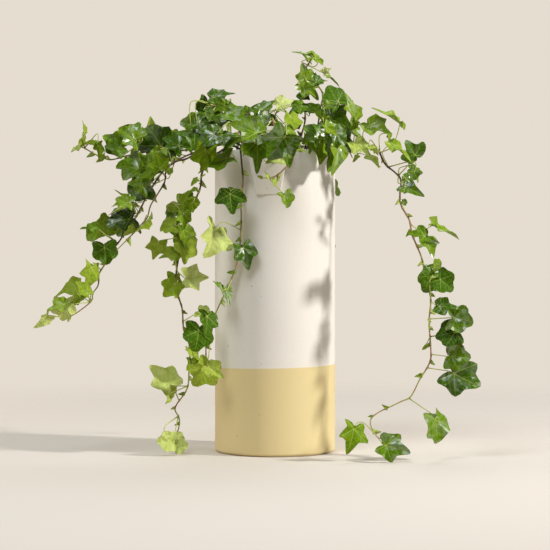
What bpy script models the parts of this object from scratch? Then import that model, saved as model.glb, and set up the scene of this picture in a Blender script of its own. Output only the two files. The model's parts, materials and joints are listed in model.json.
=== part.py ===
"""Potted ivy: a tall cylindrical pot with a pouring lip, its soil, and the ivy stems that trail from it.

The origin is at the middle of the pot's flat base, +Z is up and the lip looks along -Y, the front.
Sizes are in metres. Places along the plant are written in millimetres and scaled by MM.
"""

import itertools
import math
import random

import bmesh
import bpy
from mathutils import Matrix, Vector
from mathutils.bvhtree import BVHTree

MM = 0.001

# Pot: thick glazed stoneware, a plain cylinder on a small chamfered foot
POT_RADIUS = 70 * MM
POT_HEIGHT = 348 * MM
POT_WALL = 6 * MM
POT_FLOOR = 12 * MM
FOOT_CHAMFER = 3 * MM
RIM_ROUND = 1.5 * MM
POT_SIDES = 40

# Pouring lip: a flat-fronted wedge on the front of the rim, a little left of the middle.
# Each level is a height, a half width, and how far in front of the axis its front and its back lie.
LIP_MIDDLE = -8 * MM
LIP_ROOT_RADIUS = 67 * MM
LIP_LEVELS = (
    (296.5 * MM, 13.5 * MM, 70.8 * MM, 0),
    (348 * MM, 24 * MM, 82 * MM, 0),
    (361 * MM, 19 * MM, 85 * MM, 72 * MM),
    (372 * MM, 8 * MM, 87 * MM, 82 * MM),
)
CHANNEL_ROOT_RADIUS = 58 * MM
CHANNEL_LEVELS = (
    (343.5 * MM, 18.5 * MM, 76.5 * MM, 0),
    (361 * MM, 14.5 * MM, 80.5 * MM, 0),
    (376 * MM, 5 * MM, 82.8 * MM, 0),
)

# Soil: fills the pot and is gently domed, with a plain hole for each stem
FIT_GAP = 0.3 * MM
SOIL_EDGE = 342 * MM
SOIL_DOME = 6 * MM
SOIL_RINGS = (0, 0.55, 1)
SOIL_SIDES = 20
HOLE_DEPTH = 20 * MM
HOLE_RADIUS = 2.2 * MM
HOLE_SIDES = 5
SOIL_TO_ROUTE = 3 * MM

# Stems: woody at the root and thin at the tip, with a leaf stalk at their joints
ROOT_RADIUS = 1.3 * MM
TIP_RADIUS = 0.8 * MM
JOINT_SPACING = 19 * MM
STALK_RADIUS = 0.6 * MM
SHORTEST_STALK = 7 * MM
# A stalk that leaves its blade within about 78 degrees of the midrib runs straight
STRAIGHT_STALK = 0.2
# How far a stalk bows out behind its blade, in shares of its span; each is tried in turn
STALK_BOWS = (0.2, 0.6, -0.35)

# Blades: thin lobed leaves that stand off their stem and turn towards the light
BLADE_THICKNESS = 0.7 * MM
# A blade shorter than this has no inward corner on either side of its tip
PLAIN_LENGTH = 36 * MM
CLEARANCE = 0.35 * MM
FLOOR_CLEARANCE = 2 * MM
RIM_CLEARANCE = 2 * MM
# How much nearer the viewer a listed leaf's tip stands than its base, in shares of its length
TIP_FORWARD = (-0.25, 0.6)
# How far a blade's halves fold up from its midrib, and how far its tip droops, least and most
FOLD = (0.05, 0.42)
DROOP = (0.02, 0.3)
FRONT = Vector((0, -1, 0))
UP = Vector((0, 0, 1))
LIGHT = Vector((0.7, -0.3, 0.6))
# How far each next listed leaf stands in front of its stem, and the moves tried where it would touch another
FORWARD = (8 * MM, 14 * MM, 5 * MM, 17 * MM)
MOVES = (0, 4, -4, 8, -8, 12, 16, -12, 21, 26)

# Half outlines of the leaves: angle from the tip in degrees, and reach in shares of the leaf's length
LEAF_CUTS = {
    "five": ((0, 1.00), (29, 0.76), (54, 0.80), (88, 0.60), (128, 0.62), (180, 0.14)),
    "star": ((0, 1.00), (26, 0.58), (54, 0.74), (88, 0.50), (126, 0.52), (180, 0.12)),
    "broad": ((0, 1.00), (32, 0.80), (60, 0.80), (122, 0.66), (180, 0.18)),
    "trefoil": ((0, 1.00), (34, 0.66), (66, 0.84), (124, 0.54), (180, 0.14)),
    "three": ((0, 1.00), (27, 0.64), (54, 0.68), (130, 0.48), (180, 0.12)),
    "arrow": ((0, 1.00), (24, 0.52), (66, 0.44), (135, 0.40), (180, 0.10)),
    "young": ((0, 1.00), (48, 0.44), (125, 0.38), (180, 0.14)),
    "round": ((0, 1.00), (60, 0.84), (125, 0.72), (180, 0.28)),
}
# How far the outline's inward corners stand above its outward ones, in shares of the leaf's length
INNER_RISE = 0.05

# Each stem's root on the soil as x, y, and the places that its route runs through as x, y, z, in millimetres
STEMS = {
    "stem_left_level": ((-40, 6), (
        (-50, 5, 356), (-66, 4, 357), (-88, 2, 353), (-111, -2, 350), (-134, -5, 350), (-157, -8, 347),
        (-178, -10, 342), (-189, -12, 339), (-200, -14, 341), (-215, -16, 349), (-227, -18, 356),
    )),
    "stem_left_long": ((-42, -12), (
        (-54, -18, 357), (-68, -25, 356), (-84, -32, 350), (-100, -38, 339), (-114, -42, 335),
        (-125, -45, 327), (-136, -48, 312), (-147, -50, 293), (-155, -50, 277), (-160, -50, 269),
        (-171, -50, 258), (-175, -50, 247), (-185, -50, 234), (-194, -52, 217), (-200, -52, 207),
        (-201, -52, 194), (-207, -54, 185), (-208, -54, 177), (-219, -56, 167), (-233, -58, 159),
        (-252, -60, 159),
    )),
    "stem_left_thin": ((-36, -28), (
        (-48, -38, 358), (-62, -47, 357), (-82, -56, 348), (-101, -64, 340), (-115, -68, 332),
        (-123, -70, 322), (-124, -70, 311), (-132, -72, 297), (-140, -72, 284), (-144, -72, 270),
        (-153, -72, 260), (-163, -72, 249), (-178, -72, 234),
    )),
    "stem_left_hanging": ((-24, -36), (
        (-36, -44, 357), (-48, -53, 356), (-59, -56, 348), (-74, -54, 337), (-83, -48, 322),
        (-85, -42, 307), (-90, -40, 294), (-100, -38, 275), (-105, -36, 257), (-109, -34, 234),
        (-113, -32, 211), (-114, -30, 188), (-107, -30, 168), (-105, -28, 142), (-98, -28, 123),
        (-99, -28, 103), (-101, -28, 75), (-115, -30, 53), (-110, -32, 41), (-111, -34, 28),
        (-117, -36, 18),
    )),
    "stem_left_rim": ((-24, -20), (
        (-30, -28, 362), (-38, -40, 368), (-48, -52, 366), (-60, -62, 359), (-70, -66, 352),
    )),
    "stem_left_high": ((-28, 0), (
        (-36, -2, 366), (-46, -6, 378), (-56, -10, 388), (-66, -12, 398), (-74, -12, 406),
    )),
    "stem_front_left": ((-12, -46), (
        (-22, -54, 358), (-31, -62, 359), (-38, -71, 352), (-38, -75, 337), (-36, -70, 313),
        (-38, -68, 290), (-38, -68, 266), (-39, -68, 243), (-43, -66, 218), (-51, -62, 197),
        (-61, -56, 176), (-71, -50, 154), (-78, -46, 132), (-79, -44, 106),
    )),
    "stem_front_centre": ((2, -34), (
        (-1, -44, 366), (-3, -58, 376), (-3, -74, 381), (-2, -90, 378), (0, -98, 366), (-1, -99, 350),
        (-3, -98, 336),
    )),
    "stem_front_short": ((16, -46), (
        (21, -56, 356), (25, -68, 354), (24, -78, 347), (18, -86, 338), (13, -88, 328), (6, -88, 320),
        (-3, -88, 315), (-15, -88, 314),
    )),
    "stem_right_rim": ((34, -34), (
        (40, -40, 362), (48, -50, 368), (56, -58, 364), (64, -62, 356),
    )),
    "stem_right_trailing": ((40, -8), (
        (48, -9, 362), (56, -12, 368), (64, -15, 369), (76, -21, 366), (85, -26, 359), (97, -31, 353),
        (116, -37, 351), (125, -43, 333), (137, -48, 322), (143, -52, 313), (142, -57, 288),
        (152, -61, 268), (155, -65, 251), (165, -69, 226), (169, -72, 206), (175, -75, 180),
        (173, -78, 155), (174, -80, 132), (174, -82, 110), (162, -84, 89), (152, -85, 70),
        (142, -86, 65), (127, -88, 58), (116, -90, 53), (107, -93, 46), (107, -96, 37),
        (114, -100, 26), (122, -104, 20),
    )),
    "stem_upright": ((26, 6), (
        (30, 5, 366), (35, 3, 385), (34, 2, 404), (29, 0, 413), (34, -2, 422), (30, -2, 432),
        (36, -4, 446), (42, -4, 456),
    )),
    "stem_upright_right": ((36, -20), (
        (46, -20, 366), (50, -20, 381), (52, -20, 396), (55, -20, 410), (53, -20, 419), (46, -19, 428),
    )),
    "stem_centre": ((-4, -12), (
        (-4, -16, 366), (-2, -20, 380), (2, -22, 394), (8, -22, 404),
    )),
    "stem_back_left": ((-30, 30), (
        (-34, 46, 358), (-38, 62, 357), (-42, 78, 344), (-40, 84, 318), (-36, 86, 288), (-40, 88, 258),
        (-34, 90, 228), (-38, 92, 198), (-32, 94, 168),
    )),
    "stem_back_centre": ((2, 40), (
        (2, 52, 360), (-1, 66, 360), (-4, 80, 348), (0, 86, 322), (6, 88, 296), (2, 90, 268),
        (8, 92, 236), (4, 94, 204), (8, 95, 172), (4, 96, 140), (8, 96, 112),
    )),
    "stem_back_right": ((26, 34), (
        (32, 48, 358), (40, 62, 357), (46, 76, 342), (46, 82, 316), (48, 84, 288), (44, 86, 262),
        (48, 88, 240),
    )),
    "stem_back_high": ((-8, 22), (
        (-12, 30, 372), (-20, 38, 386), (-32, 44, 396), (-46, 48, 398), (-58, 52, 390),
    )),
    "stem_back_side": ((42, 18), (
        (50, 22, 364), (60, 27, 372), (72, 32, 371), (84, 36, 360), (92, 40, 344),
    )),
}

# Each stem's leaves that stand out: base x, z and tip x, z in millimetres, turn about the midrib
# in degrees, and cut
LEAVES = {
    "stem_left_level": (
        (-225, 352, -234, 348, 40, "young"), (-223, 357, -219, 371, 60, "young"),
        (-219, 369, -219, 383, 70, "young"), (-202, 356, -217, 358, 50, "arrow"),
        (-202, 354, -198, 340, 55, "three"), (-197, 342, -205, 334, 40, "young"),
        (-179, 353, -198, 365, 15, "five"), (-178, 351, -195, 349, 35, "broad"),
        (-160, 360, -177, 372, 30, "five"), (-156, 366, -173, 379, 30, "three"),
        (-143, 361, -143, 390, 10, "star"), (-132, 354, -163, 355, 25, "broad"),
        (-156, 353, -168, 347, 45, "three"), (-117, 361, -129, 375, 40, "five"),
        (-103, 357, -119, 371, 45, "three"), (-91, 378, -109, 383, 20, "broad"),
        (-111, 354, -130, 366, 30, "five"), (-96, 353, -107, 362, 30, "broad"),
        (-86, 358, -102, 371, 35, "five"), (-119, 351, -133, 345, 50, "three"),
        (-87, 361, -99, 385, 40, "five"),
    ),
    "stem_left_long": (
        (-154, 326, -182, 332, 35, "five"), (-142, 327, -155, 344, 30, "three"),
        (-128, 325, -133, 344, 10, "star"), (-132, 322, -152, 316, 50, "three"),
        (-145, 306, -171, 302, 15, "broad"), (-141, 311, -122, 305, 30, "three"),
        (-165, 287, -178, 304, 75, "arrow"), (-166, 287, -184, 285, 55, "three"),
        (-163, 283, -190, 276, 62, "arrow"), (-165, 269, -191, 266, 38, "broad"),
        (-173, 266, -180, 248, 25, "five"), (-194, 258, -195, 278, 50, "round"),
        (-190, 260, -201, 249, 40, "broad"), (-202, 256, -218, 249, 35, "round"),
        (-201, 258, -218, 259, 70, "three"), (-193, 237, -191, 216, 8, "broad"),
        (-207, 214, -209, 190, 50, "three"), (-211, 185, -223, 200, 60, "three"),
        (-224, 193, -250, 182, 40, "arrow"), (-220, 179, -233, 168, 50, "three"),
        (-235, 172, -253, 165, 50, "three"), (-238, 174, -239, 153, 25, "five"),
        (-256, 159, -269, 145, 35, "arrow"), (-148, 304, -165, 311, 30, "five"),
        (-163, 286, -178, 291, 35, "five"),
    ),
    "stem_left_thin": (
        (-142, 269, -154, 253, 74, "arrow"), (-118, 323, -118, 317, 20, "round"),
        (-130, 345, -139, 329, 30, "three"), (-160, 259, -169, 250, 30, "young"),
    ),
    "stem_left_hanging": (
        (-88, 313, -96, 307, 30, "young"), (-106, 286, -85, 289, 35, "five"),
        (-113, 283, -126, 277, 40, "broad"), (-113, 277, -129, 268, 50, "three"),
        (-103, 274, -101, 256, 40, "three"), (-116, 260, -132, 257, 35, "broad"),
        (-110, 258, -115, 241, 40, "five"), (-104, 257, -100, 236, 40, "three"),
        (-133, 242, -139, 222, 10, "star"), (-105, 242, -103, 216, 48, "five"),
        (-116, 230, -130, 226, 20, "star"), (-109, 237, -114, 219, 45, "three"),
        (-100, 202, -75, 203, 8, "star"), (-114, 195, -126, 182, 15, "five"),
        (-115, 196, -122, 211, 30, "three"), (-85, 163, -72, 160, 45, "broad"),
        (-95, 121, -85, 110, 35, "three"), (-95, 108, -90, 90, 35, "three"),
        (-121, 81, -142, 104, 20, "three"), (-120, 69, -125, 58, 50, "young"),
        (-119, 78, -119, 64, 40, "three"), (-120, 16, -134, 17, 15, "round"),
        (-116, 17, -112, 2, 15, "round"), (-109, 10, -98, 12, 20, "round"),
        (-82, 327, -86, 320, 40, "young"), (-90, 302, -101, 300, 50, "young"),
        (-94, 287, -104, 276, 35, "three"),
    ),
    "stem_front_left": (
        (-50, 296, -49, 274, 5, "trefoil"), (-68, 254, -72, 225, 48, "five"),
        (-36, 236, -29, 212, 15, "three"), (-56, 190, -49, 170, 60, "arrow"),
        (-60, 191, -69, 200, 60, "young"), (-77, 159, -76, 136, 40, "three"),
        (-86, 143, -88, 120, 20, "broad"), (-76, 100, -91, 77, 30, "five"),
        (-74, 101, -58, 91, 25, "three"), (-33, 351, -36, 338, 40, "three"),
        (-49, 298, -52, 305, 20, "round"),
    ),
    "stem_front_short": (
        (10, 294, 15, 280, 40, "broad"), (0, 312, -1, 304, 20, "young"), (-9, 317, -6, 311, 30, "young"),
        (-15, 314, -20, 316, 30, "young"), (27, 345, 35, 342, 50, "young"),
    ),
    "stem_right_trailing": (
        (139, 379, 113, 399, 80, "arrow"), (108, 375, 130, 365, 40, "three"),
        (97, 379, 103, 359, 30, "three"), (92, 383, 85, 410, 50, "arrow"),
        (133, 352, 155, 337, 55, "arrow"), (129, 365, 130, 354, 50, "young"),
        (159, 342, 149, 359, 10, "trefoil"), (155, 328, 166, 313, 45, "arrow"),
        (157, 323, 150, 312, 35, "broad"), (146, 305, 166, 296, 25, "arrow"),
        (146, 314, 147, 321, 20, "round"), (145, 287, 147, 292, 20, "round"),
        (179, 260, 208, 248, 66, "arrow"), (166, 249, 149, 253, 40, "three"),
        (166, 243, 159, 225, 10, "broad"), (168, 248, 178, 228, 50, "three"),
        (178, 215, 187, 223, 40, "broad"), (176, 205, 166, 186, 15, "broad"),
        (184, 201, 200, 189, 15, "broad"), (183, 171, 202, 170, 25, "three"),
        (200, 158, 221, 156, 15, "broad"), (200, 142, 177, 139, 30, "broad"),
        (197, 115, 217, 114, 10, "broad"), (200, 96, 227, 80, 5, "five"), (177, 46, 185, 19, 50, "broad"),
        (87, 36, 83, 9, 30, "star"), (122, 8, 149, 1, 20, "three"), (92, 354, 107, 340, 30, "star"),
        (108, 350, 118, 343, 40, "young"), (93, 341, 87, 334, 40, "young"),
        (78, 362, 85, 344, 35, "three"), (81, 371, 88, 363, 40, "three"),
        (169, 128, 165, 122, 40, "young"), (172, 153, 169, 157, 40, "young"),
    ),
    "stem_upright": (
        (48, 455, 23, 470, 78, "arrow"), (39, 455, 28, 465, 62, "arrow"), (44, 453, 56, 447, 60, "arrow"),
        (35, 429, 31, 447, 20, "three"), (43, 429, 46, 442, 20, "broad"), (57, 439, 65, 444, 10, "star"),
        (59, 438, 76, 425, 72, "arrow"), (33, 423, 52, 410, 35, "three"), (31, 410, 43, 417, 40, "three"),
        (29, 399, 14, 393, 30, "three"), (39, 395, 29, 407, 40, "three"),
    ),
    "stem_upright_right": (
        (72, 404, 60, 424, 25, "broad"), (47, 427, 61, 431, 35, "three"), (63, 385, 89, 376, 15, "five"),
        (59, 398, 76, 400, 50, "arrow"), (49, 393, 38, 403, 30, "three"), (55, 384, 46, 392, 40, "broad"),
        (66, 376, 80, 371, 40, "three"), (82, 400, 94, 382, 50, "arrow"),
    ),
    "stem_right_rim": (
        (47, 361, 33, 374, 35, "broad"), (50, 355, 52, 333, 35, "five"), (63, 355, 65, 321, 45, "three"),
        (71, 349, 68, 320, 40, "arrow"), (38, 361, 41, 343, 40, "three"), (68, 364, 80, 352, 30, "broad"),
        (57, 372, 70, 362, 40, "three"),
    ),
    "stem_front_centre": (
        (-20, 354, -18, 318, 35, "three"), (10, 357, -8, 332, 15, "five"), (6, 357, 17, 324, 30, "three"),
        (-3, 332, 19, 328, 50, "arrow"), (-21, 362, -49, 373, 30, "three"),
        (12, 361, 29, 354, 40, "three"), (-15, 366, -28, 374, 40, "five"),
    ),
    "stem_centre": (
        (-9, 372, -15, 398, 35, "broad"), (2, 372, 8, 394, 40, "five"), (-12, 394, -30, 399, 35, "five"),
        (5, 401, 23, 410, 35, "three"), (30, 399, 15, 390, 30, "three"), (23, 377, 19, 391, 40, "three"),
        (18, 373, 27, 383, 45, "arrow"), (-15, 394, 1, 404, 45, "three"),
    ),
    "stem_left_high": (
        (-79, 405, -85, 387, 25, "broad"), (-70, 410, -46, 416, 45, "three"),
        (-57, 399, -71, 392, 30, "three"), (-34, 389, -59, 386, 55, "three"),
        (-68, 380, -34, 382, 62, "arrow"), (-86, 378, -68, 371, 30, "five"),
        (-91, 369, -65, 359, 35, "five"), (-73, 388, -61, 379, 30, "three"),
        (-55, 387, -32, 377, 45, "broad"), (-80, 391, -70, 379, 35, "broad"),
    ),
    "stem_left_rim": (
        (-78, 346, -81, 321, 40, "five"), (-54, 337, -84, 327, 50, "three"),
        (-60, 362, -78, 349, 40, "five"), (-44, 357, -60, 345, 50, "three"),
        (-68, 362, -87, 356, 30, "broad"),
    ),
}

# Stems with leaves by rule: first and last joint that bears one, leaf length at each, and stalk length,
# lengths in millimetres
SPRAYS = {
    "stem_back_left": (4, 17, 30, 16, 16),
    "stem_back_centre": (3, 20, 31, 15, 17),
    "stem_back_right": (3, 12, 31, 18, 16),
    "stem_back_high": (2, 7, 28, 21, 20),
    "stem_back_side": (2, 7, 28, 21, 20),
    "stem_upright": (2, 3, 24, 22, 24),
    "stem_centre": (2, 3, 24, 22, 24),
}
SPRAY_CUTS = ("five", "broad", "three", "round", "star", "arrow")


def clear_scene():
    for old in list(bpy.data.objects):
        bpy.data.objects.remove(old, do_unlink=True)


def new_collection(name):
    collection = bpy.data.collections.new(name)
    bpy.context.scene.collection.children.link(collection)
    return collection


def material(name, color, roughness):
    """A plain Principled material for one kind of sub-part."""
    made = bpy.data.materials.new(name)
    made.use_nodes = True
    shader = made.node_tree.nodes["Principled BSDF"]
    shader.inputs["Base Color"].default_value = (*color, 1.0)
    shader.inputs["Roughness"].default_value = roughness
    shader.inputs["Metallic"].default_value = 0.0
    return made


def add_object(name, data, collection):
    added = bpy.data.objects.new(name, data)
    collection.objects.link(added)
    return added


def applied(source, name, collection):
    """A mesh object of what the viewport shows of the source, which is then removed."""
    bpy.context.view_layer.update()
    shown = source.evaluated_get(bpy.context.evaluated_depsgraph_get())
    mesh = bpy.data.meshes.new_from_object(shown)
    place = source.matrix_world.copy()
    bpy.data.objects.remove(source, do_unlink=True)
    result = add_object(name, mesh, collection)
    result.matrix_world = place
    return result


def remove_group(group):
    for member in list(group.objects):
        bpy.data.objects.remove(member, do_unlink=True)
    bpy.data.collections.remove(group)


def boolean(target, operation, group, solver="EXACT"):
    """A Boolean of the target with every object of a collection."""
    modifier = target.modifiers.new(operation.title(), "BOOLEAN")
    modifier.operation = operation
    modifier.solver = solver
    modifier.operand_type = "COLLECTION"
    modifier.collection = group


def turned(name, profile, sides, collection):
    """A solid turned about Z from (radius, height) places that run down its outer side."""
    mesh = bpy.data.meshes.new(name)
    edges = [(i, i + 1) for i in range(len(profile) - 1)]
    mesh.from_pydata([(radius, 0, height) for radius, height in profile], edges, [])
    body = add_object(name, mesh, collection)
    screw = body.modifiers.new("Screw", "SCREW")
    screw.steps = sides
    screw.render_steps = sides
    screw.use_merge_vertices = True
    screw.merge_threshold = 0.01 * MM
    return body


def lip_wedge(name, levels, root_radius, collection):
    """A closed wedge lofted through its levels, flat in front, its back inside the pot's wall."""
    shape = bmesh.new()
    rings = []
    for height, half_width, front, back in levels:
        corners = [(LIP_MIDDLE - half_width, -front), (LIP_MIDDLE + half_width, -front)]
        for x in (LIP_MIDDLE + half_width, LIP_MIDDLE, LIP_MIDDLE - half_width):
            corners.append((x, -max(math.sqrt(root_radius**2 - x**2), back)))
        rings.append([shape.verts.new((x, y, height)) for x, y in corners])
    shape.faces.new(rings[0])
    shape.faces.new(rings[-1])
    for lower, upper in zip(rings, rings[1:]):
        for i in range(len(lower)):
            j = (i + 1) % len(lower)
            shape.faces.new((lower[i], lower[j], upper[j], upper[i]))
    bmesh.ops.recalc_face_normals(shape, faces=shape.faces[:])
    mesh = bpy.data.meshes.new(name)
    shape.to_mesh(mesh)
    shape.free()
    return add_object(name, mesh, collection)


def make_pot(parts):
    """The cylinder, the wedge of its lip, and the channel that runs out through the rim."""
    inner = POT_RADIUS - POT_WALL
    pot = turned("pot_cylinder", (
        (0, POT_FLOOR),
        (inner, POT_FLOOR),
        (inner, POT_HEIGHT - RIM_ROUND),
        (inner + RIM_ROUND, POT_HEIGHT),
        (POT_RADIUS - RIM_ROUND, POT_HEIGHT),
        (POT_RADIUS, POT_HEIGHT - RIM_ROUND),
        (POT_RADIUS, FOOT_CHAMFER),
        (POT_RADIUS - FOOT_CHAMFER, 0),
        (0, 0),
    ), POT_SIDES, parts)
    added = new_collection("lip_added")
    lip_wedge("lip_wedge", LIP_LEVELS, LIP_ROOT_RADIUS, added)
    boolean(pot, "UNION", added)
    pot = applied(pot, "pot_with_lip", parts)
    removed = new_collection("lip_removed")
    lip_wedge("lip_channel", CHANNEL_LEVELS, CHANNEL_ROOT_RADIUS, removed)
    boolean(pot, "DIFFERENCE", removed)
    pot = applied(pot, "pot", parts)
    remove_group(added)
    remove_group(removed)
    pot.data.materials.append(material("stoneware", (0.83, 0.79, 0.70), 0.55))
    pot.data.shade_smooth()
    pot.data.set_sharp_from_angle(angle=math.radians(30))
    return pot


def soil_height(x, y):
    """The height of the domed soil over a place."""
    share = math.hypot(x, y) / (POT_RADIUS - POT_WALL - FIT_GAP)
    return SOIL_EDGE + SOIL_DOME * (1 - min(share, 1) ** 2)


def make_soil(parts, roots):
    """The filling of the pot, with a hole of its own for each stem."""
    radius = POT_RADIUS - POT_WALL - FIT_GAP
    top = [(radius * share, soil_height(radius * share, 0)) for share in SOIL_RINGS]
    bottom = POT_FLOOR + FIT_GAP
    soil = turned("soil_fill", (*top, (radius, bottom), (0, bottom)), SOIL_SIDES, parts)
    holes = new_collection("soil_holes")
    for x, y in roots:
        hole = bmesh.new()
        bmesh.ops.create_cone(hole, cap_ends=True, segments=HOLE_SIDES, radius1=HOLE_RADIUS,
                              radius2=HOLE_RADIUS, depth=2 * HOLE_DEPTH)
        mesh = bpy.data.meshes.new("hole")
        hole.to_mesh(mesh)
        hole.free()
        add_object("hole", mesh, holes).location = (x, y, soil_height(x, y))
    boolean(soil, "DIFFERENCE", holes)
    soil = applied(soil, "soil", parts)
    remove_group(holes)
    soil.data.materials.append(material("soil", (0.06, 0.04, 0.025), 0.95))
    return soil


def smooth_route(points, spacing):
    """Places about every spacing along a smooth curve that leaves the soil upright and meets every point."""
    start = points[0] - UP * 2 * spacing
    ends = [start, *points, 2 * points[-1] - points[-2]]
    fine = []
    for a, b, c, d in zip(ends, ends[1:], ends[2:], ends[3:]):
        for i in range(8):
            t = i / 8
            fine.append(0.5 * (2 * b + (c - a) * t + (2 * a - 5 * b + 4 * c - d) * t**2
                               + (3 * b - a - 3 * c + d) * t**3))
    fine.append(points[-1])
    reach = [0.0]
    for a, b in zip(fine, fine[1:]):
        reach.append(reach[-1] + (b - a).length)
    count = max(2, round(reach[-1] / spacing))
    places = []
    k = 0
    for i in range(count + 1):
        target = reach[-1] * i / count
        while k < len(reach) - 2 and reach[k + 1] < target:
            k += 1
        share = (target - reach[k]) / (reach[k + 1] - reach[k])
        places.append(fine[k].lerp(fine[k + 1], min(share, 1)))
    return places


def stem_joints(name):
    """The stem's joints: its foot in the soil's hole, and then one about every joint spacing."""
    (x, y), route = STEMS[name]
    foot = Vector((x * MM, y * MM, soil_height(x * MM, y * MM)))
    points = [foot + UP * SOIL_TO_ROUTE] + [Vector(place) * MM for place in route]
    return [foot - UP * (HOLE_DEPTH - FIT_GAP)] + smooth_route(points, JOINT_SPACING)


def stem_radius(i, joints):
    return ROOT_RADIUS + (TIP_RADIUS - ROOT_RADIUS) * i / (len(joints) - 1)


class Leaf:
    """One leaf: the place and frame of its blade, its form, and the stalk back to its stem."""

    def __init__(self, base, tip, facing, turn, cut, draws, joints):
        self.base = base
        self.length = (tip - base).length
        self.midrib = (tip - base).normalized()
        self.facing = facing
        flat = (facing - self.midrib * facing.dot(self.midrib)).normalized()
        turned_ways = [Matrix.Rotation(math.radians(way * turn), 3, self.midrib) @ flat for way in (1, -1)]
        self.normal = max(turned_ways, key=LIGHT.dot)
        half = [(angle, reach, i % 2) for i, (angle, reach) in enumerate(LEAF_CUTS[cut])]
        if self.length < PLAIN_LENGTH and len(half) > 4:
            del half[1]
        self.half = half
        self.notch = len(half)
        self.fold = draws.uniform(*FOLD)
        self.droop = draws.uniform(*DROOP)
        between = [a.lerp(b, 0.5) for a, b in zip(joints[2:], joints[3:])]
        far_enough = [place for place in between if (place - base).length > SHORTEST_STALK]
        self.roots = sorted(far_enough, key=lambda place: (place - base).length)[:3]
        self.root = self.roots[0]
        self.bow = STALK_BOWS[0]

    def outline(self):
        """The blade's outline on its middle surface, from the tip round by the stalk's notch."""
        side = self.midrib.cross(self.normal)
        places = []
        for way, part in ((1, self.half), (-1, self.half[:0:-1])):
            for angle, reach, inner in part:
                x = way * reach * math.sin(math.radians(angle))
                y = reach * math.cos(math.radians(angle))
                z = self.fold * abs(x) - self.droop * reach * reach + INNER_RISE * inner
                if angle == 180:
                    x = way * STALK_RADIUS / self.length
                places.append(self.base + self.length * (x * side + y * self.midrib + z * self.normal))
        return places

    def blade_solid(self, thickness):
        """Vertices and triangles of the blade, split alike on both faces, open where the stalk leaves."""
        middle = [self.base, *self.outline()]
        count = len(middle)
        offset = self.normal * thickness / 2
        places = [place + offset for place in middle] + [place - offset for place in middle]
        faces = []
        for i in range(1, count):
            j = i % (count - 1) + 1
            faces.append((0, j, i))
            faces.append((count, count + i, count + j))
            if i != self.notch:
                faces.append((i, j, count + j))
                faces.append((i, count + j, count + i))
        return places, faces

    def stalk_route(self):
        """From the blade's notch, first back along the midrib, then bending into the stem."""
        notch = self.base - self.midrib * self.length * self.half[-1][1]
        span = self.root - notch
        if self.bow == STALK_BOWS[0] and -self.midrib.dot(span.normalized()) > STRAIGHT_STALK:
            return [notch, self.root]
        bow = UP * 0.08 - self.midrib * 0.25 - self.normal * self.bow
        return [notch, notch + span * 0.45 + bow * span.length, self.root]

    def solid(self):
        """The whole leaf as one closed shape: the stalk's rings carry on from the blade's notch."""
        places, faces = self.blade_solid(BLADE_THICKNESS)
        count = len(places) // 2
        ring = [self.notch, self.notch + 1, count + self.notch + 1, count + self.notch]
        heading = self.midrib
        across = self.midrib.cross(self.normal) * STALK_RADIUS
        upward = self.normal * STALK_RADIUS
        route = self.stalk_route()
        for before, here in zip(route, route[1:]):
            bend = heading.rotation_difference(before - here)
            heading = before - here
            across = bend @ across
            upward = bend @ upward
            next_ring = list(range(len(places), len(places) + 4))
            places += [here + across + upward, here - across + upward,
                       here - across - upward, here + across - upward]
            for k in range(4):
                faces.append((ring[k], ring[(k + 1) % 4], next_ring[(k + 1) % 4], next_ring[k]))
            ring = next_ring
        faces.append(tuple(ring))
        return places, faces


def rod(places, radius):
    """Vertices and triangles of three-sided prisms along a route, for testing clearance."""
    vertices = []
    faces = []
    for a, b in zip(places, places[1:]):
        across = (b - a).orthogonal().normalized() * radius
        spokes = [Matrix.Rotation(math.radians(120 * k), 3, b - a) @ across for k in range(3)]
        first = len(vertices)
        vertices += [a + spoke for spoke in spokes] + [b + spoke for spoke in spokes]
        for k in range(3):
            n = (k + 1) % 3
            faces.append((first + k, first + n, first + 3 + n))
            faces.append((first + k, first + 3 + n, first + 3 + k))
    return vertices, faces


class Taken:
    """The room that is already taken: a search tree and a box for each stem, blade and stalk."""

    def __init__(self):
        self.shapes = []

    def add(self, owner, is_thin, vertices, faces):
        self.shapes.append((owner, is_thin, BVHTree.FromPolygons(vertices, faces), box_of(vertices)))

    def touches(self, owner, vertices, faces, is_thin):
        """Whether a shape of one stem's touches what it should pass clear of.

        A stem and its own stalks may touch, because they grow together.
        """
        tree = BVHTree.FromPolygons(vertices, faces)
        low, high = box_of(vertices)
        for other, other_is_thin, other_tree, (other_low, other_high) in self.shapes:
            if other == owner and is_thin and other_is_thin:
                continue
            apart = any(low[k] > other_high[k] or high[k] < other_low[k] for k in range(3))
            if not apart and tree.overlap(other_tree):
                return True
        return False


def box_of(vertices):
    return ([min(v[k] for v in vertices) for k in range(3)], [max(v[k] for v in vertices) for k in range(3)])


def buried(places):
    """Whether a blade reaches below the floor, into the pot's wall or into its soil."""
    for place in places:
        over_pot = math.hypot(place.x, place.y) < POT_RADIUS + RIM_CLEARANCE
        if place.z < FLOOR_CLEARANCE or (over_pot and place.z < POT_HEIGHT + RIM_CLEARANCE):
            return True
    return False


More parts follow.
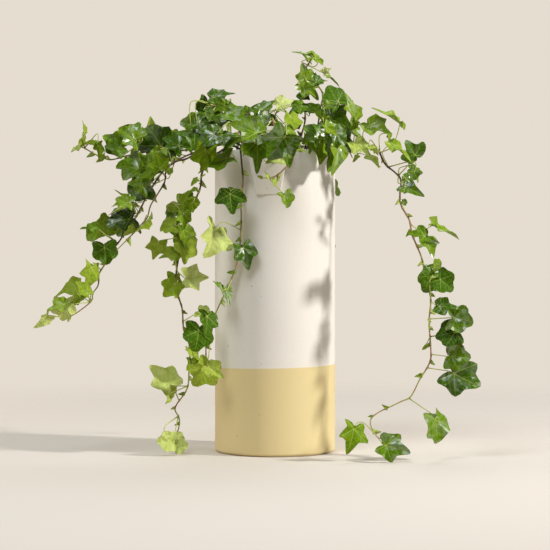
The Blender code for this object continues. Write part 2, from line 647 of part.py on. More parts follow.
def seated(leaf, owner, taken):
    """Moves a leaf out or in until it is clear of everything, and says whether it is.

    A leaf that would reach into the ground is first raised to lie just over it.
    """
    lowest = min(place.z for place in leaf.blade_solid(BLADE_THICKNESS + 2 * CLEARANCE)[0])
    start = leaf.base + UP * max(0, 1.1 * FLOOR_CLEARANCE - lowest)
    for move in MOVES:
        leaf.base = start + leaf.facing * move * MM
        blade = leaf.blade_solid(BLADE_THICKNESS + 2 * CLEARANCE)
        if buried(blade[0]) or taken.touches(owner, *blade, is_thin=False):
            continue
        for leaf.bow, leaf.root in itertools.product(STALK_BOWS, leaf.roots):
            route = leaf.stalk_route()
            stalk = rod(route, STALK_RADIUS + CLEARANCE)
            free_end = rod([route[0].lerp(route[1], 0.3), *route[1:]], STALK_RADIUS + CLEARANCE)
            crosses_blade = BVHTree.FromPolygons(*free_end).overlap(BVHTree.FromPolygons(*blade))
            if not crosses_blade and not taken.touches(owner, *stalk, is_thin=True):
                taken.add(owner, False, *leaf.blade_solid(BLADE_THICKNESS))
                taken.add(owner, True, *rod(route, STALK_RADIUS))
                return True
    return False


def listed_leaves(name, joints, draws):
    """The stem's leaves that stand out in front, largest first, each a step in front of its stem."""
    rows = sorted(LEAVES.get(name, ()), key=lambda row: -math.hypot(row[2] - row[0], row[3] - row[1]))
    for i, (base_x, base_z, tip_x, tip_z, turn, cut) in enumerate(rows):
        offsets = [math.hypot(joint.x - base_x * MM, joint.z - base_z * MM) for joint in joints[2:]]
        beside = [joint for joint, offset in zip(joints[2:], offsets) if offset < min(offsets) + JOINT_SPACING]
        near = min(beside, key=lambda joint: joint.y)
        reach = math.hypot(tip_x - base_x, tip_z - base_z) * MM
        base = Vector((base_x * MM, near.y - FORWARD[i % len(FORWARD)], base_z * MM))
        tip = Vector((tip_x * MM, base.y - draws.uniform(*TIP_FORWARD) * reach, tip_z * MM))
        yield Leaf(base, tip, FRONT, turn, cut, draws, joints)


def spray_leaves(name, joints, draws):
    """Leaves on alternate sides of the stem, which hang outward and grow smaller towards its tip.

    Every third joint is bare.
    """
    if name not in SPRAYS:
        return
    first, last, size_first, size_last, stalk = SPRAYS[name]
    last = min(last, len(joints) - 1)
    for i in range(first, last + 1):
        if i % 3 == 1:
            continue
        joint = joints[i]
        along = (joints[min(i + 1, len(joints) - 1)] - joints[i - 1]).normalized()
        outward = Vector((joint.x, joint.y, 0)).normalized()
        side = along.cross(outward).normalized() * (1 if i % 2 else -1)
        reach = outward * 0.75 + side * 0.6 + UP * draws.uniform(-0.1, 0.4)
        base = joint + reach.normalized() * stalk * MM
        size = size_first + (size_last - size_first) * (i - first) / max(last - first, 1)
        hang = (side * draws.uniform(0.2, 0.7) + outward * draws.uniform(0.1, 0.4)
                - UP * draws.uniform(0.3, 0.9))
        tip = base + hang.normalized() * size * draws.uniform(0.85, 1.1) * MM
        facing = (outward + UP * 0.4 + side * 0.3).normalized()
        cut = SPRAY_CUTS[draws.randrange(len(SPRAY_CUTS))]
        yield Leaf(base, tip, facing, draws.uniform(0, 35), cut, draws, joints)


def place_leaves(pot):
    """Every stem's joints and its leaves, each clear of the pot and of all the others."""
    taken = Taken()
    taken.add("pot", False, [pot.matrix_world @ v.co for v in pot.data.vertices],
              [tuple(face.vertices) for face in pot.data.polygons])
    routes = {name: stem_joints(name) for name in STEMS}
    for name, joints in routes.items():
        taken.add(name, True, *rod(joints[1:], ROOT_RADIUS))
    grown = {name: [] for name in STEMS}
    for make in (listed_leaves, spray_leaves):
        for number, (name, joints) in enumerate(routes.items()):
            for leaf in make(name, joints, random.Random(number)):
                if seated(leaf, name, taken):
                    grown[name].append(leaf)
    return routes, grown


def tube(name, places, radii, collection):
    """A four-sided tube with filled caps, as a mesh."""
    curve = bpy.data.curves.new(name, "CURVE")
    curve.dimensions = "3D"
    curve.bevel_depth = 1.0
    curve.bevel_resolution = 0
    curve.use_fill_caps = True
    curve.twist_mode = "MINIMUM"
    spline = curve.splines.new("POLY")
    spline.points.add(len(places) - 1)
    for point, place, radius in zip(spline.points, places, radii):
        point.co = (*place, 1.0)
        point.radius = radius
    result = applied(add_object(name, curve, collection), name, collection)
    welded = bmesh.new()
    welded.from_mesh(result.data)
    bmesh.ops.remove_doubles(welded, verts=welded.verts, dist=0.001 * MM)
    bmesh.ops.triangulate(welded, faces=welded.faces[:])
    bmesh.ops.recalc_face_normals(welded, faces=welded.faces[:])
    welded.to_mesh(result.data)
    welded.free()
    return result


def make_stem(name, joints, leaves, foliage, parts):
    """One leafy stem: its tube with every stalk and blade joined to it in one body."""
    stem = tube(name + "_tube", joints, [stem_radius(i, joints) for i in range(len(joints))], parts)
    growth = new_collection(name + "_growth")
    for leaf in leaves:
        places, faces = leaf.solid()
        shape = bmesh.new()
        vertices = [shape.verts.new(place) for place in places]
        for face in faces:
            shape.faces.new([vertices[k] for k in face])
        bmesh.ops.triangulate(shape, faces=shape.faces[:])
        bmesh.ops.recalc_face_normals(shape, faces=shape.faces[:])
        mesh = bpy.data.meshes.new("leaf")
        shape.to_mesh(mesh)
        shape.free()
        add_object("leaf", mesh, growth)
    if leaves:
        boolean(stem, "UNION", growth, "MANIFOLD")
    stem = applied(stem, name, parts)
    remove_group(growth)
    stem.data.materials.clear()
    stem.data.materials.append(foliage)
    return stem


def main():
    clear_scene()
    parts = new_collection("potted_ivy")
    pot = make_pot(parts)
    make_soil(parts, [(x * MM, y * MM) for (x, y), route in STEMS.values()])
    bpy.context.view_layer.update()
    routes, grown = place_leaves(pot)
    foliage = material("ivy_foliage", (0.10, 0.22, 0.03), 0.4)
    for name, joints in routes.items():
        make_stem(name, joints, grown[name], foliage, parts)


main()
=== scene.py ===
import itertools
import json
import math
import random

import bmesh
import bpy
from mathutils import Matrix, Vector
from mathutils.bvhtree import BVHTree

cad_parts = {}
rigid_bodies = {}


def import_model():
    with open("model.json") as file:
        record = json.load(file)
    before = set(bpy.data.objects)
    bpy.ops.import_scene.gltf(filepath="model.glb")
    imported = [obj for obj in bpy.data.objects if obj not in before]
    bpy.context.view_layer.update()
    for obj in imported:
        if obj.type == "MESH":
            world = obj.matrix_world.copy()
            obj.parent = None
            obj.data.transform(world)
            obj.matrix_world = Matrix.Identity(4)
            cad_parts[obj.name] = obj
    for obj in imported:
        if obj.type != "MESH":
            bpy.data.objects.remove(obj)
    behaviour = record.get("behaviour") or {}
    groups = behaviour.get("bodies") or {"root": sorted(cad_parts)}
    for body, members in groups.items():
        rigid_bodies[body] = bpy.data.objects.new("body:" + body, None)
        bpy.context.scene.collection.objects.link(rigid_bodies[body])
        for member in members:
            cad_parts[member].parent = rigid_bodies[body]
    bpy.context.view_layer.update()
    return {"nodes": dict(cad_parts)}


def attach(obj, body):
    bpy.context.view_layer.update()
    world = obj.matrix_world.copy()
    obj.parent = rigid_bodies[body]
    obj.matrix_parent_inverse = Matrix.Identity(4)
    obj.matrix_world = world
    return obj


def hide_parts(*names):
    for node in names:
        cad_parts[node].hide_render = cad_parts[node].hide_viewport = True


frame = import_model()

# The pot: a tall cylinder of thick stoneware, turned, with a small chamfered foot and a soft rim.
# A flat-fronted lip is luted to the front of the rim and its channel is cut through the wall.
# It is glazed matte off-white and its lower part was dipped again, in mustard yellow.
MM = 0.001
POT_RADIUS = 70 * MM
POT_HEIGHT = 348 * MM
POT_WALL = 6 * MM
POT_FLOOR = 12 * MM
FLOOR_ROUND = 5 * MM
FOOT_CHAMFER = 3 * MM
CHAMFER_ROUND = 1.2 * MM
FOOT_ROUND = 0.8 * MM
RIM_ROUND = 2.4 * MM
POT_SIDES = 144
POT_BANDS = 24
LIP_MIDDLE = -8 * MM
LIP_ROOT_RADIUS = 67 * MM
CHANNEL_ROOT_RADIUS = 58 * MM
# Each level is a height, a half width, and how far in front of the axis its front and its back lie
LIP_LEVELS = (
    (296.5 * MM, 13.5 * MM, 70.8 * MM, 0),
    (348 * MM, 24 * MM, 82 * MM, 0),
    (361 * MM, 19 * MM, 85 * MM, 72 * MM),
    (372 * MM, 8 * MM, 87 * MM, 82 * MM),
)
CHANNEL_LEVELS = (
    (343.5 * MM, 18.5 * MM, 76.5 * MM, 0),
    (361 * MM, 14.5 * MM, 80.5 * MM, 0),
    (376 * MM, 5 * MM, 82.8 * MM, 0),
)
LIP_SOFTENING = 0.9 * MM
# Edges that turn by more than this many degrees are rounded on the lip, and are shaded sharp on the pot
LIP_EDGE_ANGLE = 30
SHARP_ANGLE = 32
# The dip line at the pot's middle, and how much it rises to the right for each length across
DIP_LINE = 100.5 * MM
DIP_TILT = 1.5 / 70
DIP_WANDER = 0.5 * MM
DIP_FADE = (0.45 * MM, -0.15 * MM)
# The pot is painted darker brown towards the very foot, from the first height down to the second: painted
# shade of the dark line under the foot
FOOT_SHADE_LINE = (1.2 * MM, 0.2 * MM)
GLAZE_RELIEF = 0.12 * MM


def rounded(corners, steps=5):
    """An open profile whose (radius, height, rounding) corners are rounded with arcs."""
    places = []
    for i, (x, z, rounding) in enumerate(corners):
        here = Vector((x, z))
        if not rounding:
            places.append(here)
            continue
        back = (Vector(corners[i - 1][:2]) - here).normalized()
        ahead = (Vector(corners[i + 1][:2]) - here).normalized()
        half = back.angle(ahead) / 2
        middle = here + (back + ahead).normalized() * rounding / math.sin(half)
        first = here + back * rounding / math.tan(half) - middle
        last = here + ahead * rounding / math.tan(half) - middle
        turn = math.atan2(first.x * last.y - first.y * last.x, first.dot(last))
        for k in range(steps + 1):
            places.append(middle + Matrix.Rotation(turn * k / steps, 2) @ first)
    return places


def turned(name, profile, sides):
    """A closed body turned about Z, from a profile that starts and ends on the axis."""
    shape = bmesh.new()
    rings = []
    for radius, height in profile:
        count = 1 if radius < 0.001 * MM else sides
        angles = [2 * math.pi * k / sides for k in range(count)]
        rings.append([shape.verts.new((radius * math.cos(a), radius * math.sin(a), height)) for a in angles])
    for near, far in zip(rings, rings[1:]):
        for k in range(sides):
            n = k + 1
            corners = (near[k % len(near)], near[n % len(near)], far[n % len(far)], far[k % len(far)])
            shape.faces.new(list(dict.fromkeys(corners)))
    bmesh.ops.recalc_face_normals(shape, faces=shape.faces[:])
    return object_of(shape, name)


def object_of(shape, name):
    """An object of its own for a bmesh, which is then freed."""
    mesh = bpy.data.meshes.new(name)
    shape.to_mesh(mesh)
    shape.free()
    made = bpy.data.objects.new(name, mesh)
    bpy.context.scene.collection.objects.link(made)
    return made


def lip_wedge(name, levels, root_radius):
    """A closed wedge lofted through its levels, flat in front, its back on a radius inside the wall."""
    shape = bmesh.new()
    rings = []
    for height, half_width, front, back in levels:
        corners = [(LIP_MIDDLE - half_width, -front), (LIP_MIDDLE + half_width, -front)]
        for x in (LIP_MIDDLE + half_width, LIP_MIDDLE, LIP_MIDDLE - half_width):
            corners.append((x, -max(math.sqrt(root_radius**2 - x**2), back)))
        rings.append([shape.verts.new((x, y, height)) for x, y in corners])
    shape.faces.new(rings[0])
    shape.faces.new(rings[-1])
    for lower, upper in zip(rings, rings[1:]):
        for i in range(len(lower)):
            j = (i + 1) % len(lower)
            shape.faces.new((lower[i], lower[j], upper[j], upper[i]))
    bmesh.ops.recalc_face_normals(shape, faces=shape.faces[:])
    return object_of(shape, name)


def settled(piece):
    """The piece with its modifiers made part of its mesh."""
    bpy.context.view_layer.update()
    depsgraph = bpy.context.evaluated_depsgraph_get()
    shown = piece.evaluated_get(depsgraph)
    mesh = bpy.data.meshes.new_from_object(shown, preserve_all_data_layers=True, depsgraph=depsgraph)
    piece.modifiers.clear()
    old = piece.data
    piece.data = mesh
    if not old.users:
        bpy.data.batch_remove([old])
    return piece


def carved(piece, tool, operation):
    """A Boolean with another object, which is used up."""
    modifier = piece.modifiers.new(operation.title(), "BOOLEAN")
    modifier.operation = operation
    modifier.solver = "EXACT"
    modifier.object = tool
    settled(piece)
    bpy.data.objects.remove(tool, do_unlink=True)


def softened(piece, width, angle):
    """Rounds the piece's sharp edges."""
    bevel = piece.modifiers.new("Soft edges", "BEVEL")
    bevel.width = width
    bevel.segments = 3
    bevel.limit_method = "ANGLE"
    bevel.angle_limit = math.radians(angle)
    return settled(piece)


def fed(tree, node, inputs):
    """The node, its inputs filled with values or with other nodes' outputs."""
    for name, value in inputs.items():
        if isinstance(value, bpy.types.NodeSocket):
            tree.links.new(value, node.inputs[name])
        else:
            node.inputs[name].default_value = value
    return node


def placed(tree, kind, inputs=None, **settings):
    """A new node with its settings and its inputs."""
    made = tree.nodes.new(kind)
    for setting, value in settings.items():
        setattr(made, setting, value)
    return fed(tree, made, inputs or {})


def reckoned(tree, operation, *values):
    """The result of a Math node."""
    return placed(tree, "ShaderNodeMath", dict(enumerate(values)), operation=operation).outputs[0]


def times(tree, first, second):
    """The product of two values."""
    return reckoned(tree, "MULTIPLY", first, second)


def ranged(tree, value, low, high, to_low=0.0, to_high=1.0):
    """A value eased from one range to another."""
    inputs = {"Value": value, "From Min": low, "From Max": high, "To Min": to_low, "To Max": to_high}
    return placed(tree, "ShaderNodeMapRange", inputs, interpolation_type="SMOOTHSTEP").outputs[0]


def blended(tree, share, first, second, way="MIX"):
    """Two colours mixed by a share."""
    mix = placed(tree, "ShaderNodeMix", {0: share, 6: first, 7: second}, data_type="RGBA", blend_type=way)
    return mix.outputs[2]


def noisy(tree, where, scale, detail=2.0, roughness=0.5):
    """The value of a noise over a place."""
    inputs = {"Vector": where, "Scale": scale, "Detail": detail, "Roughness": roughness}
    return placed(tree, "ShaderNodeTexNoise", inputs).outputs[0]


def bumps(tree, height, strength, distance):
    """A normal that follows a height."""
    inputs = {"Height": height, "Strength": strength, "Distance": distance}
    return placed(tree, "ShaderNodeBump", inputs).outputs[0]


def new_material(name):
    """A material, its tree and its one shader."""
    made = bpy.data.materials.new(name)
    made.use_nodes = True
    return made, made.node_tree, made.node_tree.nodes["Principled BSDF"]


def new_group(name, kind, inputs, outputs):
    """A node group with named sockets, and its two end nodes."""
    group = bpy.data.node_groups.new(name, kind)
    for title, socket_type, value in inputs:
        socket = group.interface.new_socket(title, in_out="INPUT", socket_type=socket_type)
        if value is not None:
            socket.default_value = value
    for title, socket_type in outputs:
        group.interface.new_socket(title, in_out="OUTPUT", socket_type=socket_type)
    return group, group.nodes.new("NodeGroupInput"), group.nodes.new("NodeGroupOutput")


def used(tree, group, inputs):
    """A group placed in a material with its own values."""
    return placed(tree, "ShaderNodeGroup", inputs, node_tree=group).outputs


def fine_specks():
    """Small scattered specks or pinholes: a mask that is 1 in a speck, of which only some cells have one."""
    group, start, end = new_group("fine_specks", "ShaderNodeTree", (
        ("Place", "NodeSocketVector", None),
        ("Cells per Metre", "NodeSocketFloat", 160.0),
        ("Share of Cells", "NodeSocketFloat", 0.2),
        ("Speck Radius", "NodeSocketFloat", 0.08),
    ), (("Specks", "NodeSocketFloat"),))
    place, scale, share, radius = list(start.outputs)[:4]
    cells = placed(group, "ShaderNodeTexVoronoi", {"Vector": place, "Scale": scale}).outputs
    drawn = placed(group, "ShaderNodeSeparateColor", {"Color": cells["Color"]}).outputs
    chosen = reckoned(group, "LESS_THAN", drawn[0], share)
    size = times(group, radius, reckoned(group, "ADD", 0.4, drawn[1]))
    speck = ranged(group, reckoned(group, "DIVIDE", cells["Distance"], size), 1.0, 0.45)
    fed(group, end, {"Specks": times(group, chosen, speck)})
    return group


def pot_glaze(specks):
    """Matte glaze, off-white above the dip line and mustard below, with fine iron specks and pinholes."""
    made, tree, shader = new_material("pot_glaze")
    place = placed(tree, "ShaderNodeTexCoord").outputs["Object"]
    axes = placed(tree, "ShaderNodeSeparateXYZ", {"Vector": place}).outputs
    wander = times(tree, noisy(tree, place, 60.0), DIP_WANDER)
    line = reckoned(tree, "MULTIPLY_ADD", axes["X"], DIP_TILT, DIP_LINE)
    level = reckoned(tree, "SUBTRACT", axes["Z"], line)
    dipped = ranged(tree, reckoned(tree, "ADD", level, wander), *DIP_FADE)
    clouds = noisy(tree, place, 9.0, 3.0)
    grain = noisy(tree, place, 260.0, 3.0, 0.6)
    white = blended(tree, clouds, (0.79, 0.75, 0.69, 1), (0.85, 0.815, 0.76, 1))
    mustard = blended(tree, clouds, (0.73, 0.585, 0.28, 1), (0.82, 0.68, 0.36, 1))
    iron = used(tree, specks, {"Place": place, "Cells per Metre": 110.0, "Share of Cells": 0.34,
                               "Speck Radius": 0.085})[0]
    holes = used(tree, specks, {"Place": place, "Cells per Metre": 190.0, "Share of Cells": 0.12,
                                "Speck Radius": 0.10})[0]
    glaze = blended(tree, dipped, white, mustard)
    for share, color in (
        (times(tree, grain, 0.10), (0.45, 0.38, 0.28, 1)),
        (times(tree, iron, 0.62), (0.20, 0.13, 0.07, 1)),
        (times(tree, holes, 0.35), (0.34, 0.27, 0.19, 1)),
        # Painted shade: a dark brown band along the foot stands in for the shadow line under it
        (ranged(tree, axes["Z"], *FOOT_SHADE_LINE), (0.36, 0.26, 0.17, 1)),
    ):
        glaze = blended(tree, share, glaze, color)
    relief = reckoned(tree, "ADD", times(tree, grain, 0.35), times(tree, noisy(tree, place, 40.0), 0.8))
    relief = reckoned(tree, "SUBTRACT", relief, times(tree, holes, 1.4))
    relief = reckoned(tree, "ADD", relief, times(tree, dipped, 1.2))
    fed(tree, shader, {
        "Base Color": glaze,
        "Roughness": ranged(tree, grain, 0.3, 0.75, 0.50, 0.62),
        "Specular IOR Level": 0.4,
        "Normal": bumps(tree, relief, 0.5, GLAZE_RELIEF),
    })
    return made


inner_radius = POT_RADIUS - POT_WALL
foot_radius = POT_RADIUS - FOOT_CHAMFER
outer_side = [(POT_RADIUS, POT_HEIGHT + (FOOT_CHAMFER - POT_HEIGHT) * k / POT_BANDS, 0)
              for k in range(1, POT_BANDS)]
pot = turned("glazed_pot", rounded([
    (0, POT_FLOOR, 0),
    (inner_radius, POT_FLOOR, FLOOR_ROUND),
    (inner_radius, POT_HEIGHT, RIM_ROUND),
    (POT_RADIUS, POT_HEIGHT, RIM_ROUND),
    *outer_side,
    (POT_RADIUS, FOOT_CHAMFER, CHAMFER_ROUND),
    (foot_radius, 0, FOOT_ROUND),
    (0, 0, 0),
]), POT_SIDES)
carved(pot, softened(lip_wedge("lip", LIP_LEVELS, LIP_ROOT_RADIUS), LIP_SOFTENING, LIP_EDGE_ANGLE),
       "UNION")
carved(pot, lip_wedge("lip_channel", CHANNEL_LEVELS, CHANNEL_ROOT_RADIUS), "DIFFERENCE")
pot.data.shade_smooth()
pot.data.set_sharp_from_angle(angle=math.radians(SHARP_ANGLE))
specks = fine_specks()
pot.data.materials.clear()
pot.data.materials.append(pot_glaze(specks))
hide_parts("pot")
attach(pot, "root")

# The soil: dark peaty potting mix that fills the pot to just under its rim and is gently domed.
# Its loose top is a relief of clods with small crumbs lying on it, and the stems stand in it.
FIT_GAP = 0.3 * MM
SOIL_EDGE = 342 * MM
SOIL_DOME = 6 * MM
SOIL_SIDES = 96
SOIL_RINGS = 26
SOIL_WAIST = 250 * MM
SOIL_RELIEF = 0.5 * MM
CLOD_HEIGHT = 1.6 * MM
CRUMB_RADIUS = 1.1 * MM
CRUMBS_PER_SQUARE_METRE = 70000.0


def soil_height(x, y):
    """The height of the domed soil over a place."""
    share = math.hypot(x, y) / (POT_RADIUS - POT_WALL - FIT_GAP)
    return SOIL_EDGE + SOIL_DOME * (1 - min(share, 1) ** 2)


def crumbled_top():
    """A tree that roughens the top of a body and scatters crumbs over it."""
    tree, start, end = new_group("crumbled_top", "GeometryNodeTree", (
        ("Geometry", "NodeSocketGeometry", None),
        ("Clod Height", "NodeSocketFloat", CLOD_HEIGHT),
        ("Crumbs", "NodeSocketFloat", CRUMBS_PER_SQUARE_METRE),
        ("Crumb Radius", "NodeSocketFloat", CRUMB_RADIUS),
        ("Seed", "NodeSocketInt", 7),
        ("Material", "NodeSocketMaterial", None),
    ), (("Geometry", "NodeSocketGeometry"),))
    given = start.outputs
    normal = placed(tree, "GeometryNodeInputNormal").outputs[0]
    facing = placed(tree, "ShaderNodeSeparateXYZ", {"Vector": normal}).outputs["Z"]
    on_top = placed(tree, "FunctionNodeCompare", {0: facing, 1: 0.7}, operation="GREATER_THAN").outputs[0]
    clods = noisy(tree, placed(tree, "GeometryNodeInputPosition").outputs[0], 75.0, 5.0, 0.62)
    # The noise spans about a third, so three times the height brings out whole clods
    rise = times(tree, reckoned(tree, "SUBTRACT", clods, 0.55), times(tree, given["Clod Height"], 3.0))
    rough = placed(tree, "GeometryNodeSetPosition", {
        "Geometry": given["Geometry"], "Selection": on_top,
        "Offset": placed(tree, "ShaderNodeCombineXYZ", {"Z": rise}).outputs[0]})
    spots = placed(tree, "GeometryNodeDistributePointsOnFaces", {
        "Mesh": rough.outputs[0], "Selection": on_top, "Density": given["Crumbs"], "Seed": given["Seed"]})
    crumb = placed(tree, "GeometryNodeMeshIcoSphere", {"Radius": given["Crumb Radius"]})
    size, turn = [
        placed(tree, "FunctionNodeRandomValue", {0: least, 1: most, "Seed": seed}, data_type="FLOAT_VECTOR")
        for least, most, seed in (((0.3, 0.3, 0.25), (1.3, 1.3, 1.0), 3), ((0, 0, 0), (6.3, 6.3, 6.3), 5))]
    crumbs = placed(tree, "GeometryNodeInstanceOnPoints", {
        "Points": spots.outputs[0], "Instance": crumb.outputs[0], "Scale": size.outputs[0],
        "Rotation": turn.outputs[0]})
    whole = tree.nodes.new("GeometryNodeJoinGeometry")
    for part in (rough, crumbs):
        tree.links.new(part.outputs[0], whole.inputs[0])
    real = placed(tree, "GeometryNodeRealizeInstances", {0: whole.outputs[0]})
    dressed = placed(tree, "GeometryNodeSetMaterial", {
        "Geometry": real.outputs[0], "Material": given["Material"]})
    tree.links.new(dressed.outputs[0], end.inputs[0])
    return tree


def grown(piece, tree, values):
    """Runs a Geometry Nodes tree on a piece with its own values, and makes the result its mesh."""
    modifier = piece.modifiers.new(tree.name, "NODES")
    modifier.node_group = tree
    for socket in tree.interface.items_tree:
        if socket.item_type == "SOCKET" and socket.in_out == "INPUT" and socket.name in values:
            modifier[socket.identifier] = values[socket.name]
    return settled(piece)


def potting_mix():
    """Dark damp peat, browner where it has dried, with a few pale fibres."""
    made, tree, shader = new_material("potting_mix")
    place = placed(tree, "ShaderNodeTexCoord").outputs["Object"]
    clods = noisy(tree, place, 90.0, 5.0, 0.65)
    color = blended(tree, ranged(tree, clods, 0.35, 0.7), (0.018, 0.011, 0.007, 1), (0.075, 0.046, 0.027, 1))
    fibre = used(tree, specks, {"Place": place, "Cells per Metre": 300.0, "Share of Cells": 0.07,
                                "Speck Radius": 0.35})[0]
    fed(tree, shader, {
        "Base Color": blended(tree, times(tree, fibre, 0.6), color, (0.24, 0.15, 0.08, 1)),
        "Roughness": ranged(tree, clods, 0.2, 0.8, 0.78, 0.97),
        "Normal": bumps(tree, noisy(tree, place, 900.0, 4.0, 0.7), 0.8, SOIL_RELIEF),
    })
    return made


soil_radius = inner_radius - FIT_GAP
soil_top = [(soil_radius * k / SOIL_RINGS, soil_height(soil_radius * k / SOIL_RINGS, 0))
            for k in range(SOIL_RINGS + 1)]
soil_foot = POT_FLOOR + FIT_GAP
soil_profile = [*soil_top, (soil_radius, SOIL_WAIST), (soil_radius, soil_foot + FLOOR_ROUND),
                (soil_radius - FLOOR_ROUND, soil_foot), (0, soil_foot)]
soil = turned("potting_soil", soil_profile, SOIL_SIDES)
grown(soil, crumbled_top(), {"Material": potting_mix()})
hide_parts("soil")
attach(soil, "root")

# The ivy: nineteen rooted stems that rise from the soil, spill over the rim and trail down round the pot.
# Each is woody brown at its root and green at its tip, swells at every joint, and bears lobed leaves on thin
# stalks: old dark glossy ones, younger mid green ones and soft lime ones near the tips.
HOLE_DEPTH = 20 * MM
HOLE_TO_STEM = 3 * MM
# The room that a stem takes on every side of its middle
ROOM_RADIUS = 1.3 * MM
ROOT_RADIUS = 1.1 * MM
TIP_RADIUS = 0.65 * MM
JOINT_SPACING = 19 * MM
STALK_RADIUS = 0.6 * MM
SHORTEST_STALK = 7 * MM
# A stalk that leaves its blade within about 78 degrees of the midrib runs straight
STRAIGHT_STALK = 0.2
# How far a stalk bows out behind its blade, in shares of its span; each is tried in turn
STALK_BOWS = (0.2, 0.6, -0.35)
# Where along its span a bowed stalk bends, and how far it bows up and back there
STALK_BEND = 0.45
STALK_LIFT = 0.08
STALK_BACK = 0.25
# The first share of a stalk's bend may touch its own blade, which it grows from
GROWN_SHARE = 0.3
# The room that a blade takes, and what is kept clear around it
ROOM_THICKNESS = 0.7 * MM
CLEARANCE = 0.35 * MM
FLOOR_CLEARANCE = 2 * MM
LYING_CLEARANCE = 1.1 * FLOOR_CLEARANCE
RIM_CLEARANCE = 2 * MM
# The room of a blade shorter than this has no inward corner on either side of its tip
PLAIN_LENGTH = 36 * MM
# How much nearer the viewer a listed leaf's tip stands than its base, in shares of its length
TIP_FORWARD = (-0.25, 0.6)
# How far a blade's halves fold up from its midrib, and how far its tip droops, least and most
FOLD = (0.05, 0.42)
DROOP = (0.02, 0.3)
FRONT = Vector((0, -1, 0))
UP = Vector((0, 0, 1))
# Blades turn their upper side to where most light comes from
LIGHT = Vector((0.7, -0.3, 0.6))
# How far listed leaves stand in front of their stem, by turns
FORWARD = (8 * MM, 14 * MM, 5 * MM, 17 * MM)
# How far a leaf is moved out or in, in millimetres, until it is clear of everything
MOVES = (0, 4, -4, 8, -8, 12, 16, -12, 21, 26)

# Half outlines of the leaves: angle from the tip in degrees, and reach in shares of the leaf's length
LEAF_CUTS = {
    "five": ((0, 1.00), (29, 0.76), (54, 0.80), (88, 0.60), (128, 0.62), (180, 0.14)),
    "star": ((0, 1.00), (26, 0.58), (54, 0.74), (88, 0.50), (126, 0.52), (180, 0.12)),
    "broad": ((0, 1.00), (32, 0.80), (60, 0.80), (122, 0.66), (180, 0.18)),
    "trefoil": ((0, 1.00), (34, 0.66), (66, 0.84), (124, 0.54), (180, 0.14)),
    "three": ((0, 1.00), (27, 0.64), (54, 0.68), (130, 0.48), (180, 0.12)),
    "arrow": ((0, 1.00), (24, 0.52), (66, 0.44), (135, 0.40), (180, 0.10)),
    "young": ((0, 1.00), (48, 0.44), (125, 0.38), (180, 0.14)),
    "round": ((0, 1.00), (60, 0.84), (125, 0.72), (180, 0.28)),
}
# How far an inward corner of the outline rises above the lobes, in leaf lengths
INNER_RISE = 0.05

